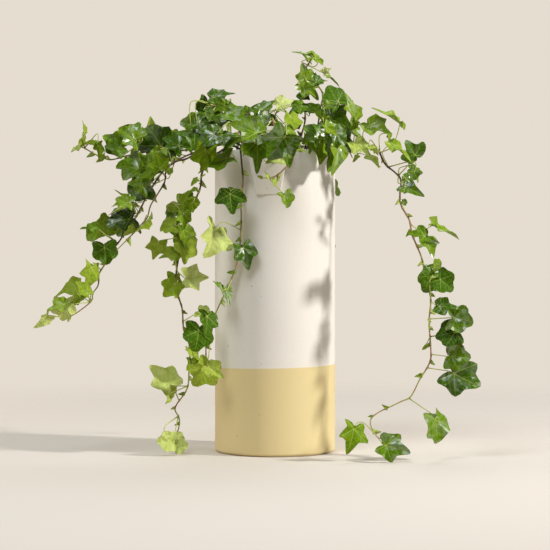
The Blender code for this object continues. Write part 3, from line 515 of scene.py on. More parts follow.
# Each stem's root on the soil as x, y, and the places that its route runs through as x, y, z, in millimetres
STEMS = {
    "stem_left_level": ((-40, 6), (
        (-50, 5, 356), (-66, 4, 357), (-88, 2, 353), (-111, -2, 350), (-134, -5, 350), (-157, -8, 347),
        (-178, -10, 342), (-189, -12, 339), (-200, -14, 341), (-215, -16, 349), (-227, -18, 356),
    )),
    "stem_left_long": ((-42, -12), (
        (-54, -18, 357), (-68, -25, 356), (-84, -32, 350), (-100, -38, 339), (-114, -42, 335),
        (-125, -45, 327), (-136, -48, 312), (-147, -50, 293), (-155, -50, 277), (-160, -50, 269),
        (-171, -50, 258), (-175, -50, 247), (-185, -50, 234), (-194, -52, 217), (-200, -52, 207),
        (-201, -52, 194), (-207, -54, 185), (-208, -54, 177), (-219, -56, 167), (-233, -58, 159),
        (-252, -60, 159),
    )),
    "stem_left_thin": ((-36, -28), (
        (-48, -38, 358), (-62, -47, 357), (-82, -56, 348), (-101, -64, 340), (-115, -68, 332),
        (-123, -70, 322), (-124, -70, 311), (-132, -72, 297), (-140, -72, 284), (-144, -72, 270),
        (-153, -72, 260), (-163, -72, 249), (-178, -72, 234),
    )),
    "stem_left_hanging": ((-24, -36), (
        (-36, -44, 357), (-48, -53, 356), (-59, -56, 348), (-74, -54, 337), (-83, -48, 322),
        (-85, -42, 307), (-90, -40, 294), (-100, -38, 275), (-105, -36, 257), (-109, -34, 234),
        (-113, -32, 211), (-114, -30, 188), (-107, -30, 168), (-105, -28, 142), (-98, -28, 123),
        (-99, -28, 103), (-101, -28, 75), (-115, -30, 53), (-110, -32, 41), (-111, -34, 28),
        (-117, -36, 18),
    )),
    "stem_left_rim": ((-24, -20), (
        (-30, -28, 362), (-38, -40, 368), (-48, -52, 366), (-60, -62, 359), (-70, -66, 352),
    )),
    "stem_left_high": ((-28, 0), (
        (-36, -2, 366), (-46, -6, 378), (-56, -10, 388), (-66, -12, 398), (-74, -12, 406),
    )),
    "stem_front_left": ((-12, -46), (
        (-22, -54, 358), (-31, -62, 359), (-38, -71, 352), (-38, -75, 337), (-36, -70, 313),
        (-38, -68, 290), (-38, -68, 266), (-39, -68, 243), (-43, -66, 218), (-51, -62, 197),
        (-61, -56, 176), (-71, -50, 154), (-78, -46, 132), (-79, -44, 106),
    )),
    "stem_front_centre": ((2, -34), (
        (-1, -44, 366), (-3, -58, 376), (-3, -74, 381), (-2, -90, 378), (0, -98, 366), (-1, -99, 350),
        (-3, -98, 336),
    )),
    "stem_front_short": ((16, -46), (
        (21, -56, 356), (25, -68, 354), (24, -78, 347), (18, -86, 338), (13, -88, 328), (6, -88, 320),
        (-3, -88, 315), (-15, -88, 314),
    )),
    "stem_right_rim": ((34, -34), (
        (40, -40, 362), (48, -50, 368), (56, -58, 364), (64, -62, 356),
    )),
    "stem_right_trailing": ((40, -8), (
        (48, -9, 362), (56, -12, 368), (64, -15, 369), (76, -21, 366), (85, -26, 359), (97, -31, 353),
        (116, -37, 351), (125, -43, 333), (137, -48, 322), (143, -52, 313), (142, -57, 288),
        (152, -61, 268), (155, -65, 251), (165, -69, 226), (169, -72, 206), (175, -75, 180),
        (173, -78, 155), (174, -80, 132), (174, -82, 110), (162, -84, 89), (152, -85, 70),
        (142, -86, 65), (127, -88, 58), (116, -90, 53), (107, -93, 46), (107, -96, 37),
        (114, -100, 26), (122, -104, 20),
    )),
    "stem_upright": ((26, 6), (
        (30, 5, 366), (35, 3, 385), (34, 2, 404), (29, 0, 413), (34, -2, 422), (30, -2, 432),
        (36, -4, 446), (42, -4, 456),
    )),
    "stem_upright_right": ((36, -20), (
        (46, -20, 366), (50, -20, 381), (52, -20, 396), (55, -20, 410), (53, -20, 419), (46, -19, 428),
    )),
    "stem_centre": ((-4, -12), (
        (-4, -16, 366), (-2, -20, 380), (2, -22, 394), (8, -22, 404),
    )),
    "stem_back_left": ((-30, 30), (
        (-34, 46, 358), (-38, 62, 357), (-42, 78, 344), (-40, 84, 318), (-36, 86, 288), (-40, 88, 258),
        (-34, 90, 228), (-38, 92, 198), (-32, 94, 168),
    )),
    "stem_back_centre": ((2, 40), (
        (2, 52, 360), (-1, 66, 360), (-4, 80, 348), (0, 86, 322), (6, 88, 296), (2, 90, 268),
        (8, 92, 236), (4, 94, 204), (8, 95, 172), (4, 96, 140), (8, 96, 112),
    )),
    "stem_back_right": ((26, 34), (
        (32, 48, 358), (40, 62, 357), (46, 76, 342), (46, 82, 316), (48, 84, 288), (44, 86, 262),
        (48, 88, 240),
    )),
    "stem_back_high": ((-8, 22), (
        (-12, 30, 372), (-20, 38, 386), (-32, 44, 396), (-46, 48, 398), (-58, 52, 390),
    )),
    "stem_back_side": ((42, 18), (
        (50, 22, 364), (60, 27, 372), (72, 32, 371), (84, 36, 360), (92, 40, 344),
    )),
}

# Each stem's leaves that stand out: base x, z, tip x, z in millimetres, turn about the midrib in degrees,
# cut, and tone from 0, old and dark, to 100, young and lime
LEAVES = {
    "stem_left_level": (
        (-225, 352, -234, 348, 40, "young", 80), (-223, 357, -219, 371, 60, "young", 62),
        (-219, 369, -219, 383, 70, "young", 60), (-202, 356, -217, 358, 50, "arrow", 55),
        (-202, 354, -198, 340, 55, "three", 45), (-197, 342, -205, 334, 40, "young", 70),
        (-179, 353, -198, 365, 15, "five", 34), (-178, 351, -195, 349, 35, "broad", 30),
        (-160, 360, -177, 372, 30, "five", 33), (-156, 366, -173, 379, 30, "three", 30),
        (-143, 361, -143, 390, 10, "star", 60), (-132, 354, -163, 355, 25, "broad", 12),
        (-156, 353, -168, 347, 45, "three", 35), (-117, 361, -129, 375, 40, "five", 40),
        (-103, 357, -119, 371, 45, "three", 45), (-91, 378, -109, 383, 20, "broad", 35),
        (-111, 354, -130, 366, 30, "five", 25), (-96, 353, -107, 362, 30, "broad", 28),
        (-86, 358, -102, 371, 35, "five", 20), (-119, 351, -133, 345, 50, "three", 48),
        (-87, 361, -99, 385, 40, "five", 40),
    ),
    "stem_left_long": (
        (-154, 326, -182, 332, 35, "five", 32), (-142, 327, -155, 344, 30, "three", 35),
        (-128, 325, -133, 344, 10, "star", 40), (-132, 322, -152, 316, 50, "three", 36),
        (-145, 306, -171, 302, 15, "broad", 20), (-141, 311, -122, 305, 30, "three", 30),
        (-165, 287, -178, 304, 75, "arrow", 60), (-166, 287, -184, 285, 55, "three", 48),
        (-163, 283, -190, 276, 62, "arrow", 80), (-165, 269, -191, 266, 38, "broad", 12),
        (-173, 266, -180, 248, 25, "five", 30), (-194, 258, -195, 278, 50, "round", 48),
        (-190, 260, -201, 249, 40, "broad", 20), (-202, 256, -218, 249, 35, "round", 38),
        (-201, 258, -218, 259, 70, "three", 30), (-193, 237, -191, 216, 8, "broad", 24),
        (-207, 214, -209, 190, 50, "three", 55), (-211, 185, -223, 200, 60, "three", 52),
        (-224, 193, -250, 182, 40, "arrow", 60), (-220, 179, -233, 168, 50, "three", 60),
        (-235, 172, -253, 165, 50, "three", 50), (-238, 174, -239, 153, 25, "five", 85),
        (-256, 159, -269, 145, 35, "arrow", 85), (-148, 304, -165, 311, 30, "five", 35),
        (-163, 286, -178, 291, 35, "five", 40),
    ),
    "stem_left_thin": (
        (-142, 269, -154, 253, 74, "arrow", 55), (-118, 323, -118, 317, 20, "round", 45),
        (-130, 345, -139, 329, 30, "three", 38), (-160, 259, -169, 250, 30, "young", 60),
    ),
    "stem_left_hanging": (
        (-88, 313, -96, 307, 30, "young", 50), (-106, 286, -85, 289, 35, "five", 50),
        (-113, 283, -126, 277, 40, "broad", 68), (-113, 277, -129, 268, 50, "three", 35),
        (-103, 274, -101, 256, 40, "three", 40), (-116, 260, -132, 257, 35, "broad", 62),
        (-110, 258, -115, 241, 40, "five", 38), (-104, 257, -100, 236, 40, "three", 45),
        (-133, 242, -139, 222, 10, "star", 60), (-105, 242, -103, 216, 48, "five", 62),
        (-116, 230, -130, 226, 20, "star", 62), (-109, 237, -114, 219, 45, "three", 48),
        # The first leaf's lime tone is partly painted light, standing in for light shining through its blade
        (-100, 202, -75, 203, 8, "star", 86), (-114, 195, -126, 182, 15, "five", 50),
        (-115, 196, -122, 211, 30, "three", 48), (-85, 163, -72, 160, 45, "broad", 75),
        (-95, 121, -85, 110, 35, "three", 60), (-95, 108, -90, 90, 35, "three", 45),
        (-121, 81, -142, 104, 20, "three", 80), (-120, 69, -125, 58, 50, "young", 72),
        (-119, 78, -119, 64, 40, "three", 70), (-120, 16, -134, 17, 15, "round", 82),
        (-116, 17, -112, 2, 15, "round", 85), (-109, 10, -98, 12, 20, "round", 85),
        (-82, 327, -86, 320, 40, "young", 55), (-90, 302, -101, 300, 50, "young", 45),
        (-94, 287, -104, 276, 35, "three", 42),
    ),
    "stem_front_left": (
        (-50, 296, -49, 274, 5, "trefoil", 14), (-68, 254, -72, 225, 48, "five", 84),
        (-36, 236, -29, 212, 15, "three", 15), (-56, 190, -49, 170, 60, "arrow", 28),
        (-60, 191, -69, 200, 60, "young", 35), (-77, 159, -76, 136, 40, "three", 20),
        (-86, 143, -88, 120, 20, "broad", 20), (-76, 100, -91, 77, 30, "five", 62),
        (-74, 101, -58, 91, 25, "three", 70), (-33, 351, -36, 338, 40, "three", 38),
        (-49, 298, -52, 305, 20, "round", 32),
    ),
    "stem_front_short": (
        (10, 294, 15, 280, 40, "broad", 40), (0, 312, -1, 304, 20, "young", 70),
        (-9, 317, -6, 311, 30, "young", 75), (-15, 314, -20, 316, 30, "young", 75),
        (27, 345, 35, 342, 50, "young", 60),
    ),
    "stem_right_trailing": (
        (139, 379, 113, 399, 80, "arrow", 50), (108, 375, 130, 365, 40, "three", 46),
        (97, 379, 103, 359, 30, "three", 40), (92, 383, 85, 410, 50, "arrow", 40),
        (133, 352, 155, 337, 55, "arrow", 50), (129, 365, 130, 354, 50, "young", 50),
        (159, 342, 149, 359, 10, "trefoil", 20), (155, 328, 166, 313, 45, "arrow", 38),
        (157, 323, 150, 312, 35, "broad", 25), (146, 305, 166, 296, 25, "arrow", 30),
        (146, 314, 147, 321, 20, "round", 30), (145, 287, 147, 292, 20, "round", 30),
        (179, 260, 208, 248, 66, "arrow", 45), (166, 249, 149, 253, 40, "three", 30),
        (166, 243, 159, 225, 10, "broad", 30), (168, 248, 178, 228, 50, "three", 40),
        (178, 215, 187, 223, 40, "broad", 45), (176, 205, 166, 186, 15, "broad", 25),
        (184, 201, 200, 189, 15, "broad", 18), (183, 171, 202, 170, 25, "three", 20),
        (200, 158, 221, 156, 15, "broad", 30), (200, 142, 177, 139, 30, "broad", 12),
        (197, 115, 217, 114, 10, "broad", 30), (200, 96, 227, 80, 5, "five", 15),
        (177, 46, 185, 19, 50, "broad", 32), (87, 36, 83, 9, 30, "star", 38),
        (122, 8, 149, 1, 20, "three", 30), (92, 354, 107, 340, 30, "star", 75),
        (108, 350, 118, 343, 40, "young", 70), (93, 341, 87, 334, 40, "young", 65),
        (78, 362, 85, 344, 35, "three", 14), (81, 371, 88, 363, 40, "three", 15),
        (169, 128, 165, 122, 40, "young", 60), (172, 153, 169, 157, 40, "young", 70),
    ),
    "stem_upright": (
        (48, 455, 23, 470, 78, "arrow", 42), (39, 455, 28, 465, 62, "arrow", 45),
        (44, 453, 56, 447, 60, "arrow", 50), (35, 429, 31, 447, 20, "three", 40),
        (43, 429, 46, 442, 20, "broad", 20), (57, 439, 65, 444, 10, "star", 95),
        (59, 438, 76, 425, 72, "arrow", 50), (33, 423, 52, 410, 35, "three", 40),
        (31, 410, 43, 417, 40, "three", 25), (29, 399, 14, 393, 30, "three", 28),
        (39, 395, 29, 407, 40, "three", 28),
    ),
    "stem_upright_right": (
        (72, 404, 60, 424, 25, "broad", 20), (47, 427, 61, 431, 35, "three", 22),
        (63, 385, 89, 376, 15, "five", 28), (59, 398, 76, 400, 50, "arrow", 40),
        (49, 393, 38, 403, 30, "three", 35), (55, 384, 46, 392, 40, "broad", 45),
        (66, 376, 80, 371, 40, "three", 40), (82, 400, 94, 382, 50, "arrow", 48),
    ),
    "stem_right_rim": (
        (47, 361, 33, 374, 35, "broad", 25), (50, 355, 52, 333, 35, "five", 45),
        (63, 355, 65, 321, 45, "three", 36), (71, 349, 68, 320, 40, "arrow", 40),
        (38, 361, 41, 343, 40, "three", 40), (68, 364, 80, 352, 30, "broad", 20),
        (57, 372, 70, 362, 40, "three", 45),
    ),
    "stem_front_centre": (
        (-20, 354, -18, 318, 35, "three", 30), (10, 357, -8, 332, 15, "five", 20),
        (6, 357, 17, 324, 30, "three", 24), (-3, 332, 19, 328, 50, "arrow", 80),
        (-21, 362, -49, 373, 30, "three", 33), (12, 361, 29, 354, 40, "three", 45),
        (-15, 366, -28, 374, 40, "five", 30),
    ),
    "stem_centre": (
        (-9, 372, -15, 398, 35, "broad", 22), (2, 372, 8, 394, 40, "five", 34),
        (-12, 394, -30, 399, 35, "five", 25), (5, 401, 23, 410, 35, "three", 90),
        (30, 399, 15, 390, 30, "three", 30), (23, 377, 19, 391, 40, "three", 40),
        (18, 373, 27, 383, 45, "arrow", 50), (-15, 394, 1, 404, 45, "three", 28),
    ),
    "stem_left_high": (
        (-79, 405, -85, 387, 25, "broad", 14), (-70, 410, -46, 416, 45, "three", 20),
        (-57, 399, -71, 392, 30, "three", 35), (-34, 389, -59, 386, 55, "three", 28),
        (-68, 380, -34, 382, 62, "arrow", 30), (-86, 378, -68, 371, 30, "five", 20),
        (-91, 369, -65, 359, 35, "five", 18), (-73, 388, -61, 379, 30, "three", 32),
        (-55, 387, -32, 377, 45, "broad", 30), (-80, 391, -70, 379, 35, "broad", 25),
    ),
    "stem_left_rim": (
        (-78, 346, -81, 321, 40, "five", 42), (-54, 337, -84, 327, 50, "three", 38),
        (-60, 362, -78, 349, 40, "five", 22), (-44, 357, -60, 345, 50, "three", 30),
        (-68, 362, -87, 356, 30, "broad", 20),
    ),
}

# Stems with leaves by rule: first and last joint that bears one, leaf length at each, and stalk length,
# lengths in millimetres
SPRAYS = {
    "stem_back_left": (4, 17, 30, 16, 16),
    "stem_back_centre": (3, 20, 31, 15, 17),
    "stem_back_right": (3, 12, 31, 18, 16),
    "stem_back_high": (2, 7, 28, 21, 20),
    "stem_back_side": (2, 7, 28, 21, 20),
    "stem_upright": (2, 3, 24, 22, 24),
    "stem_centre": (2, 3, 24, 22, 24),
}
SPRAY_CUTS = ("five", "broad", "three", "round", "star", "arrow")
# How their stalks leave the stem, in shares outward, sideways and up, the last between two bounds
SPRAY_OUTWARD = 0.75
SPRAY_SIDEWAYS = 0.6
SPRAY_LIFT = (-0.1, 0.4)
# How their blades hang, in shares sideways, outward and down, each between two bounds
SPRAY_HANG = ((0.2, 0.7), (0.1, 0.4), (0.3, 0.9))
SPRAY_SIZES = (0.85, 1.1)
SPRAY_TURNS = (0, 35)
# The tone of a stem's first leaves, what its last ones add, and how far each leaf may differ
SPRAY_TONE = 0.15
SPRAY_RIPENING = 0.32
SPRAY_TONE_SPREAD = 0.15
# How finely a route is drawn between two of its places before its joints are set out
ROUTE_STEPS = 8


def curve(a, b, c, d, steps):
    """Places from b up to c on a smooth curve that also heeds a and d."""
    for i in range(steps):
        t = i / steps
        yield 0.5 * (2 * b + (c - a) * t + (2 * a - 5 * b + 4 * c - d) * t**2
                     + (3 * b - a - 3 * c + d) * t**3)


def smooth_route(points, spacing):
    """Places about every spacing along a smooth curve that leaves the soil upright and meets every point."""
    start = points[0] - UP * 2 * JOINT_SPACING
    ends = [start, *points, 2 * points[-1] - points[-2]]
    fine = []
    for corners in zip(ends, ends[1:], ends[2:], ends[3:]):
        fine.extend(curve(*corners, ROUTE_STEPS))
    fine.append(points[-1])
    reach = [0.0]
    for a, b in zip(fine, fine[1:]):
        reach.append(reach[-1] + (b - a).length)
    count = max(2, round(reach[-1] / spacing))
    places = []
    k = 0
    for i in range(count + 1):
        target = reach[-1] * i / count
        while k < len(reach) - 2 and reach[k + 1] < target:
            k += 1
        share = (target - reach[k]) / (reach[k + 1] - reach[k])
        places.append(fine[k].lerp(fine[k + 1], min(share, 1)))
    return places


def stem_joints(name, spacing=JOINT_SPACING):
    """The stem's joints: its foot in the soil's hole, and then one about every spacing."""
    (x, y), route = STEMS[name]
    foot = Vector((x * MM, y * MM, soil_height(x * MM, y * MM)))
    points = [foot + UP * HOLE_TO_STEM] + [Vector(place) * MM for place in route]
    return [foot - UP * (HOLE_DEPTH - FIT_GAP)] + smooth_route(points, spacing)


class Leaf:
    """One leaf: the place and frame of its blade, its form, its age, and the stalk back to its stem."""

    def __init__(self, base, tip, facing, turn, cut, tone, draws, joints):
        self.base = base
        self.length = (tip - base).length
        self.midrib = (tip - base).normalized()
        self.facing = facing
        flat = (facing - self.midrib * facing.dot(self.midrib)).normalized()
        turned_ways = [Matrix.Rotation(math.radians(way * turn), 3, self.midrib) @ flat for way in (1, -1)]
        self.normal = max(turned_ways, key=LIGHT.dot)
        self.cut = cut
        self.tone = tone
        half = [(angle, reach, i % 2) for i, (angle, reach) in enumerate(LEAF_CUTS[cut])]
        if self.length < PLAIN_LENGTH and len(half) > 4:
            del half[1]
        self.half = half
        self.notch = len(half)
        self.fold = draws.uniform(*FOLD)
        self.droop = draws.uniform(*DROOP)
        between = [a.lerp(b, 0.5) for a, b in zip(joints[2:], joints[3:])]
        far_enough = [place for place in between if (place - base).length > SHORTEST_STALK]
        self.roots = sorted(far_enough, key=lambda place: (place - base).length)[:3]
        self.root = self.roots[0]
        self.bow = STALK_BOWS[0]

    def outline(self):
        """The blade's outline on its middle surface, from the tip round by the notch of the stalk."""
        side = self.midrib.cross(self.normal)
        places = []
        for way, part in ((1, self.half), (-1, self.half[:0:-1])):
            for angle, reach, inner in part:
                x = way * reach * math.sin(math.radians(angle))
                y = reach * math.cos(math.radians(angle))
                z = self.fold * abs(x) - self.droop * reach * reach + INNER_RISE * inner
                if angle == 180:
                    x = way * STALK_RADIUS / self.length
                places.append(self.base + self.length * (x * side + y * self.midrib + z * self.normal))
        return places

    def room(self, thickness):
        """Vertices and triangles of the room that the blade takes, open where the stalk leaves."""
        middle = [self.base, *self.outline()]
        count = len(middle)
        offset = self.normal * thickness / 2
        places = [place + offset for place in middle] + [place - offset for place in middle]
        faces = []
        for i in range(1, count):
            j = i % (count - 1) + 1
            faces.append((0, j, i))
            faces.append((count, count + i, count + j))
            if i != self.notch:
                faces.append((i, j, count + j))
                faces.append((i, count + j, count + i))
        return places, faces

    def stalk_route(self):
        """From the blade's notch, first back along the midrib, then bending into the stem."""
        notch = self.base - self.midrib * self.length * self.half[-1][1]
        span = self.root - notch
        if self.bow == STALK_BOWS[0] and -self.midrib.dot(span.normalized()) > STRAIGHT_STALK:
            return [notch, self.root]
        bow = UP * STALK_LIFT - self.midrib * STALK_BACK - self.normal * self.bow
        return [notch, notch + span * STALK_BEND + bow * span.length, self.root]


def rod(places, radius):
    """Vertices and triangles of three-sided prisms along a route, for testing clearance."""
    vertices = []
    faces = []
    for a, b in zip(places, places[1:]):
        across = (b - a).orthogonal().normalized() * radius
        spokes = [Matrix.Rotation(math.radians(120 * k), 3, b - a) @ across for k in range(3)]
        first = len(vertices)
        vertices += [a + spoke for spoke in spokes] + [b + spoke for spoke in spokes]
        for k in range(3):
            n = (k + 1) % 3
            faces.append((first + k, first + n, first + 3 + n))
            faces.append((first + k, first + 3 + n, first + 3 + k))
    return vertices, faces


class Taken:
    """The room that is already taken: a search tree and a box for each stem, blade and stalk."""

    def __init__(self):
        self.shapes = []

    def add(self, owner, is_thin, vertices, faces):
        self.shapes.append((owner, is_thin, BVHTree.FromPolygons(vertices, faces), box_of(vertices)))

    def touches(self, owner, vertices, faces, is_thin):
        """Whether a shape of one stem's touches what it should pass clear of.

        A stem and its own stalks may touch, because they grow together.
        """
        tree = BVHTree.FromPolygons(vertices, faces)
        low, high = box_of(vertices)
        for other, other_is_thin, other_tree, (other_low, other_high) in self.shapes:
            if other == owner and is_thin and other_is_thin:
                continue
            apart = any(low[k] > other_high[k] or high[k] < other_low[k] for k in range(3))
            if not apart and tree.overlap(other_tree):
                return True
        return False


def box_of(vertices):
    """The lowest and the highest corner of a box round some vertices."""
    return ([min(v[k] for v in vertices) for k in range(3)], [max(v[k] for v in vertices) for k in range(3)])


def buried(places):
    """Whether a blade reaches below the floor, into the pot's wall or into its soil."""
    for place in places:
        over_pot = math.hypot(place.x, place.y) < POT_RADIUS + RIM_CLEARANCE
        if place.z < FLOOR_CLEARANCE or (over_pot and place.z < POT_HEIGHT + RIM_CLEARANCE):
            return True
    return False


def seated(leaf, owner, taken):
    """Moves a leaf out or in until it is clear of everything, and says whether it is.

    A leaf that would reach into the ground is first raised to lie just over it.
    """
    lowest = min(place.z for place in leaf.room(ROOM_THICKNESS + 2 * CLEARANCE)[0])
    start = leaf.base + UP * max(0, LYING_CLEARANCE - lowest)
    for move in MOVES:
        leaf.base = start + leaf.facing * move * MM
        blade = leaf.room(ROOM_THICKNESS + 2 * CLEARANCE)
        if buried(blade[0]) or taken.touches(owner, *blade, is_thin=False):
            continue
        for leaf.bow, leaf.root in itertools.product(STALK_BOWS, leaf.roots):
            route = leaf.stalk_route()
            stalk = rod(route, STALK_RADIUS + CLEARANCE)
            free_end = rod([route[0].lerp(route[1], GROWN_SHARE), *route[1:]], STALK_RADIUS + CLEARANCE)
            crosses_blade = BVHTree.FromPolygons(*free_end).overlap(BVHTree.FromPolygons(*blade))
            if not crosses_blade and not taken.touches(owner, *stalk, is_thin=True):
                taken.add(owner, False, *leaf.room(ROOM_THICKNESS))
                taken.add(owner, True, *rod(route, STALK_RADIUS))
                return True
    return False


def listed_leaves(name, joints, draws):
    """The stem's leaves that stand out in the front view, largest first, each a step in front of its stem."""
    rows = sorted(LEAVES.get(name, ()), key=lambda row: -math.hypot(row[2] - row[0], row[3] - row[1]))
    for i, (base_x, base_z, tip_x, tip_z, turn, cut, tone) in enumerate(rows):
        offsets = [math.hypot(joint.x - base_x * MM, joint.z - base_z * MM) for joint in joints[2:]]
        limit = min(offsets) + JOINT_SPACING
        beside = [joint for joint, offset in zip(joints[2:], offsets) if offset < limit]
        near = min(beside, key=lambda joint: joint.y)
        reach = math.hypot(tip_x - base_x, tip_z - base_z) * MM
        base = Vector((base_x * MM, near.y - FORWARD[i % len(FORWARD)], base_z * MM))
        tip = Vector((tip_x * MM, base.y - draws.uniform(*TIP_FORWARD) * reach, tip_z * MM))
        yield Leaf(base, tip, FRONT, turn, cut, tone / 100, draws, joints)


def spray_leaves(name, joints, draws):
    """Leaves on alternate sides of the stem, which hang outward and grow smaller and paler towards its tip.

    Every third joint is bare.
    """
    if name not in SPRAYS:
        return
    first, last, size_first, size_last, stalk = SPRAYS[name]
    last = min(last, len(joints) - 1)
    ages = random.Random(len(joints))
    for i in range(first, last + 1):
        if i % 3 == 1:
            continue
        joint = joints[i]
        along = (joints[min(i + 1, len(joints) - 1)] - joints[i - 1]).normalized()
        outward = Vector((joint.x, joint.y, 0)).normalized()
        side = along.cross(outward).normalized() * (1 if i % 2 else -1)
        reach = outward * SPRAY_OUTWARD + side * SPRAY_SIDEWAYS + UP * draws.uniform(*SPRAY_LIFT)
        base = joint + reach.normalized() * stalk * MM
        share = (i - first) / max(last - first, 1)
        size = size_first + (size_last - size_first) * share
        sideways, out, down = [draws.uniform(*bounds) for bounds in SPRAY_HANG]
        hang = side * sideways + outward * out - UP * down
        tip = base + hang.normalized() * size * draws.uniform(*SPRAY_SIZES) * MM
        facing = (outward + UP * 0.4 + side * 0.3).normalized()
        cut = SPRAY_CUTS[draws.randrange(len(SPRAY_CUTS))]
        spread = ages.uniform(-SPRAY_TONE_SPREAD, SPRAY_TONE_SPREAD)
        tone = min(0.9, max(0.1, SPRAY_TONE + SPRAY_RIPENING * share + spread))
        yield Leaf(base, tip, facing, draws.uniform(*SPRAY_TURNS), cut, tone, draws, joints)


def place_leaves(pot_node):
    """Every stem's leaves, each clear of the pot and of all the others."""
    taken = Taken()
    taken.add("pot", False, [v.co.copy() for v in pot_node.data.vertices],
              [tuple(face.vertices) for face in pot_node.data.polygons])
    routes = {name: stem_joints(name) for name in STEMS}
    for name, joints in routes.items():
        taken.add(name, True, *rod(joints[1:], ROOM_RADIUS))
    placed_leaves = {name: [] for name in STEMS}
    for make in (listed_leaves, spray_leaves):
        for number, (name, joints) in enumerate(routes.items()):
            for leaf in make(name, joints, random.Random(number)):
                if seated(leaf, name, taken):
                    placed_leaves[name].append(leaf)
    return placed_leaves


# One flat blade of each cut, two layers thick, which the tree below bends for every leaf.
# Its rings of faces run round the place where the stalk joins, so that the veins lie along their edges.
BLADE_RINGS = (0.36, 0.72, 1.0)
OUTLINE_STEP = 0.15
# Half the height between a blade's two layers before it is bent, and how much thinner its edge is
LAYER_HEIGHT = 0.01
EDGE_THINNING = 0.45
# How round the lobes of each cut end, where 0 is a sharp point, and those of any other cut
LOBE_ROUNDNESS = {"five": 1.6, "broad": 2.0, "round": 2.1, "trefoil": 1.8, "three": 1.3}
OTHER_ROUNDNESS = 0.8
# How wide the slit is where the stalk leaves, on either side, and how its edges run, in leaf lengths
SLIT_SIDE = 0.02
SLIT_WAY = 0.30
FINE_RISE = 0.075
# The same cuts with the shallow bays that only show close by; every second corner is a lobe
FINE_CUTS = {
    "five": ((0, 0.98), (30, 0.70), (56, 0.83), (89, 0.55), (127, 0.65), (180, 0.12)),
    "star": ((0, 1.00), (26, 0.56), (54, 0.76), (88, 0.47), (126, 0.54), (180, 0.12)),
    "broad": ((0, 0.95), (29, 0.76), (56, 0.82), (90, 0.62), (125, 0.69), (180, 0.15)),
    "trefoil": ((0, 0.98), (34, 0.61), (64, 0.86), (97, 0.58), (128, 0.52), (180, 0.14)),
    "three": ((0, 1.00), (27, 0.60), (53, 0.71), (90, 0.46), (132, 0.49), (180, 0.12)),
    "arrow": ((0, 1.00), (24, 0.52), (60, 0.46), (97, 0.36), (136, 0.42), (180, 0.10)),
    "young": ((0, 1.00), (25, 0.60), (55, 0.45), (92, 0.34), (128, 0.38), (180, 0.12)),
    "round": ((0, 0.93), (31, 0.81), (60, 0.84), (93, 0.69), (127, 0.73), (180, 0.22)),
    "bud": ((0, 1.00), (58, 0.36), (118, 0.34), (180, 0.08)),
}


def fine_outline(cut):
    """The whole outline of a blade as (x, y, rise) places round from the tip, its lobes rounded."""
    right = []
    for i, (degrees, reach) in enumerate(FINE_CUTS[cut]):
        angle = math.radians(degrees)
        right.append(Vector((reach * math.sin(angle), reach * math.cos(angle), i % 2)))
    right[-1].x = SLIT_SIDE
    loop = right + [Vector((-place.x, place.y, place.z)) for place in right[:0:-1]]
    slit = (len(right) - 1, len(right))

    def way_at(k):
        if k in slit:
            return Vector((0, SLIT_WAY if k == slit[0] else -SLIT_WAY, 0))
        along = (loop[(k + 1) % len(loop)] - loop[k - 1]) * 0.5
        return along * (1.0 if loop[k].z else LOBE_ROUNDNESS.get(cut, OTHER_ROUNDNESS))

    places = []
    for i, here in enumerate(loop):
        j = (i + 1) % len(loop)
        ahead = loop[j]
        if i == slit[0]:
            places.append(here)
            continue
        steps = max(2, round(math.hypot(ahead.x - here.x, ahead.y - here.y) / OUTLINE_STEP))
        for k in range(steps):
            t = k / steps
            spot = (here * (2 * t**3 - 3 * t**2 + 1) + way_at(i) * (t**3 - 2 * t**2 + t)
                    + ahead * (3 * t**2 - 2 * t**3) + way_at(j) * (t**3 - t**2))
            spot.z = here.z + (ahead.z - here.z) * t
            places.append(spot)
    return places


def vein_at(cut, x, y):
    """How far a place on a blade is from its nearest main vein, and how far out along it, in leaf lengths."""
    best = (9.0, 0.0)
    for angle, _ in FINE_CUTS[cut][:-1:2]:
        way = Vector((math.sin(math.radians(angle)), math.cos(math.radians(angle))))
        along = abs(x) * way.x + y * way.y
        apart = abs(abs(x) * way.y - y * way.x) if along > 0 else math.hypot(x, y)
        best = min(best, (apart, along))
    return best


def blade_shape(number, cut):
    """The flat blade of one cut, with what its material and the tree below need to know of each place."""
    outline = fine_outline(cut)
    count = len(outline)
    shape = bmesh.new()
    place_layer = shape.verts.layers.float_vector.new("leaf_place")
    facts = {name: shape.verts.layers.float.new(name)
             for name in ("lift", "layer", "edge_share", "vein_distance", "vein_along")}
    rims = []
    for layer in (1.0, -1.0):
        rings = []
        for share in (0.0, *BLADE_RINGS):
            ring = []
            for spot in outline if share else outline[:1]:
                x, y = spot.x * share, spot.y * share
                vertex = shape.verts.new((x, y, layer * LAYER_HEIGHT))
                vertex[place_layer] = (x, y, 0)
                vertex[facts["lift"]] = FINE_RISE * spot.z * share**1.5
                vertex[facts["layer"]] = layer * (1 - EDGE_THINNING * share**3)
                vertex[facts["edge_share"]] = share
                vertex[facts["vein_distance"]], vertex[facts["vein_along"]] = vein_at(cut, x, y)
                ring.append(vertex)
            rings.append(ring)
        for near, far in zip(rings, rings[1:]):
            for k in range(count):
                n = (k + 1) % count
                corners = list(dict.fromkeys((near[k % len(near)], near[n % len(near)], far[n], far[k])))
                shape.faces.new(corners[::-1 if layer > 0 else 1])
        rims.append(ring)
    top, under = rims
    for k in range(count):
        n = (k + 1) % count
        shape.faces.new((top[n], top[k], under[k], under[n]))
        for rim in rims:
            shape.edges.get((rim[k], rim[n])).smooth = False
    return object_of(shape, f"blade_{number}_{cut}")


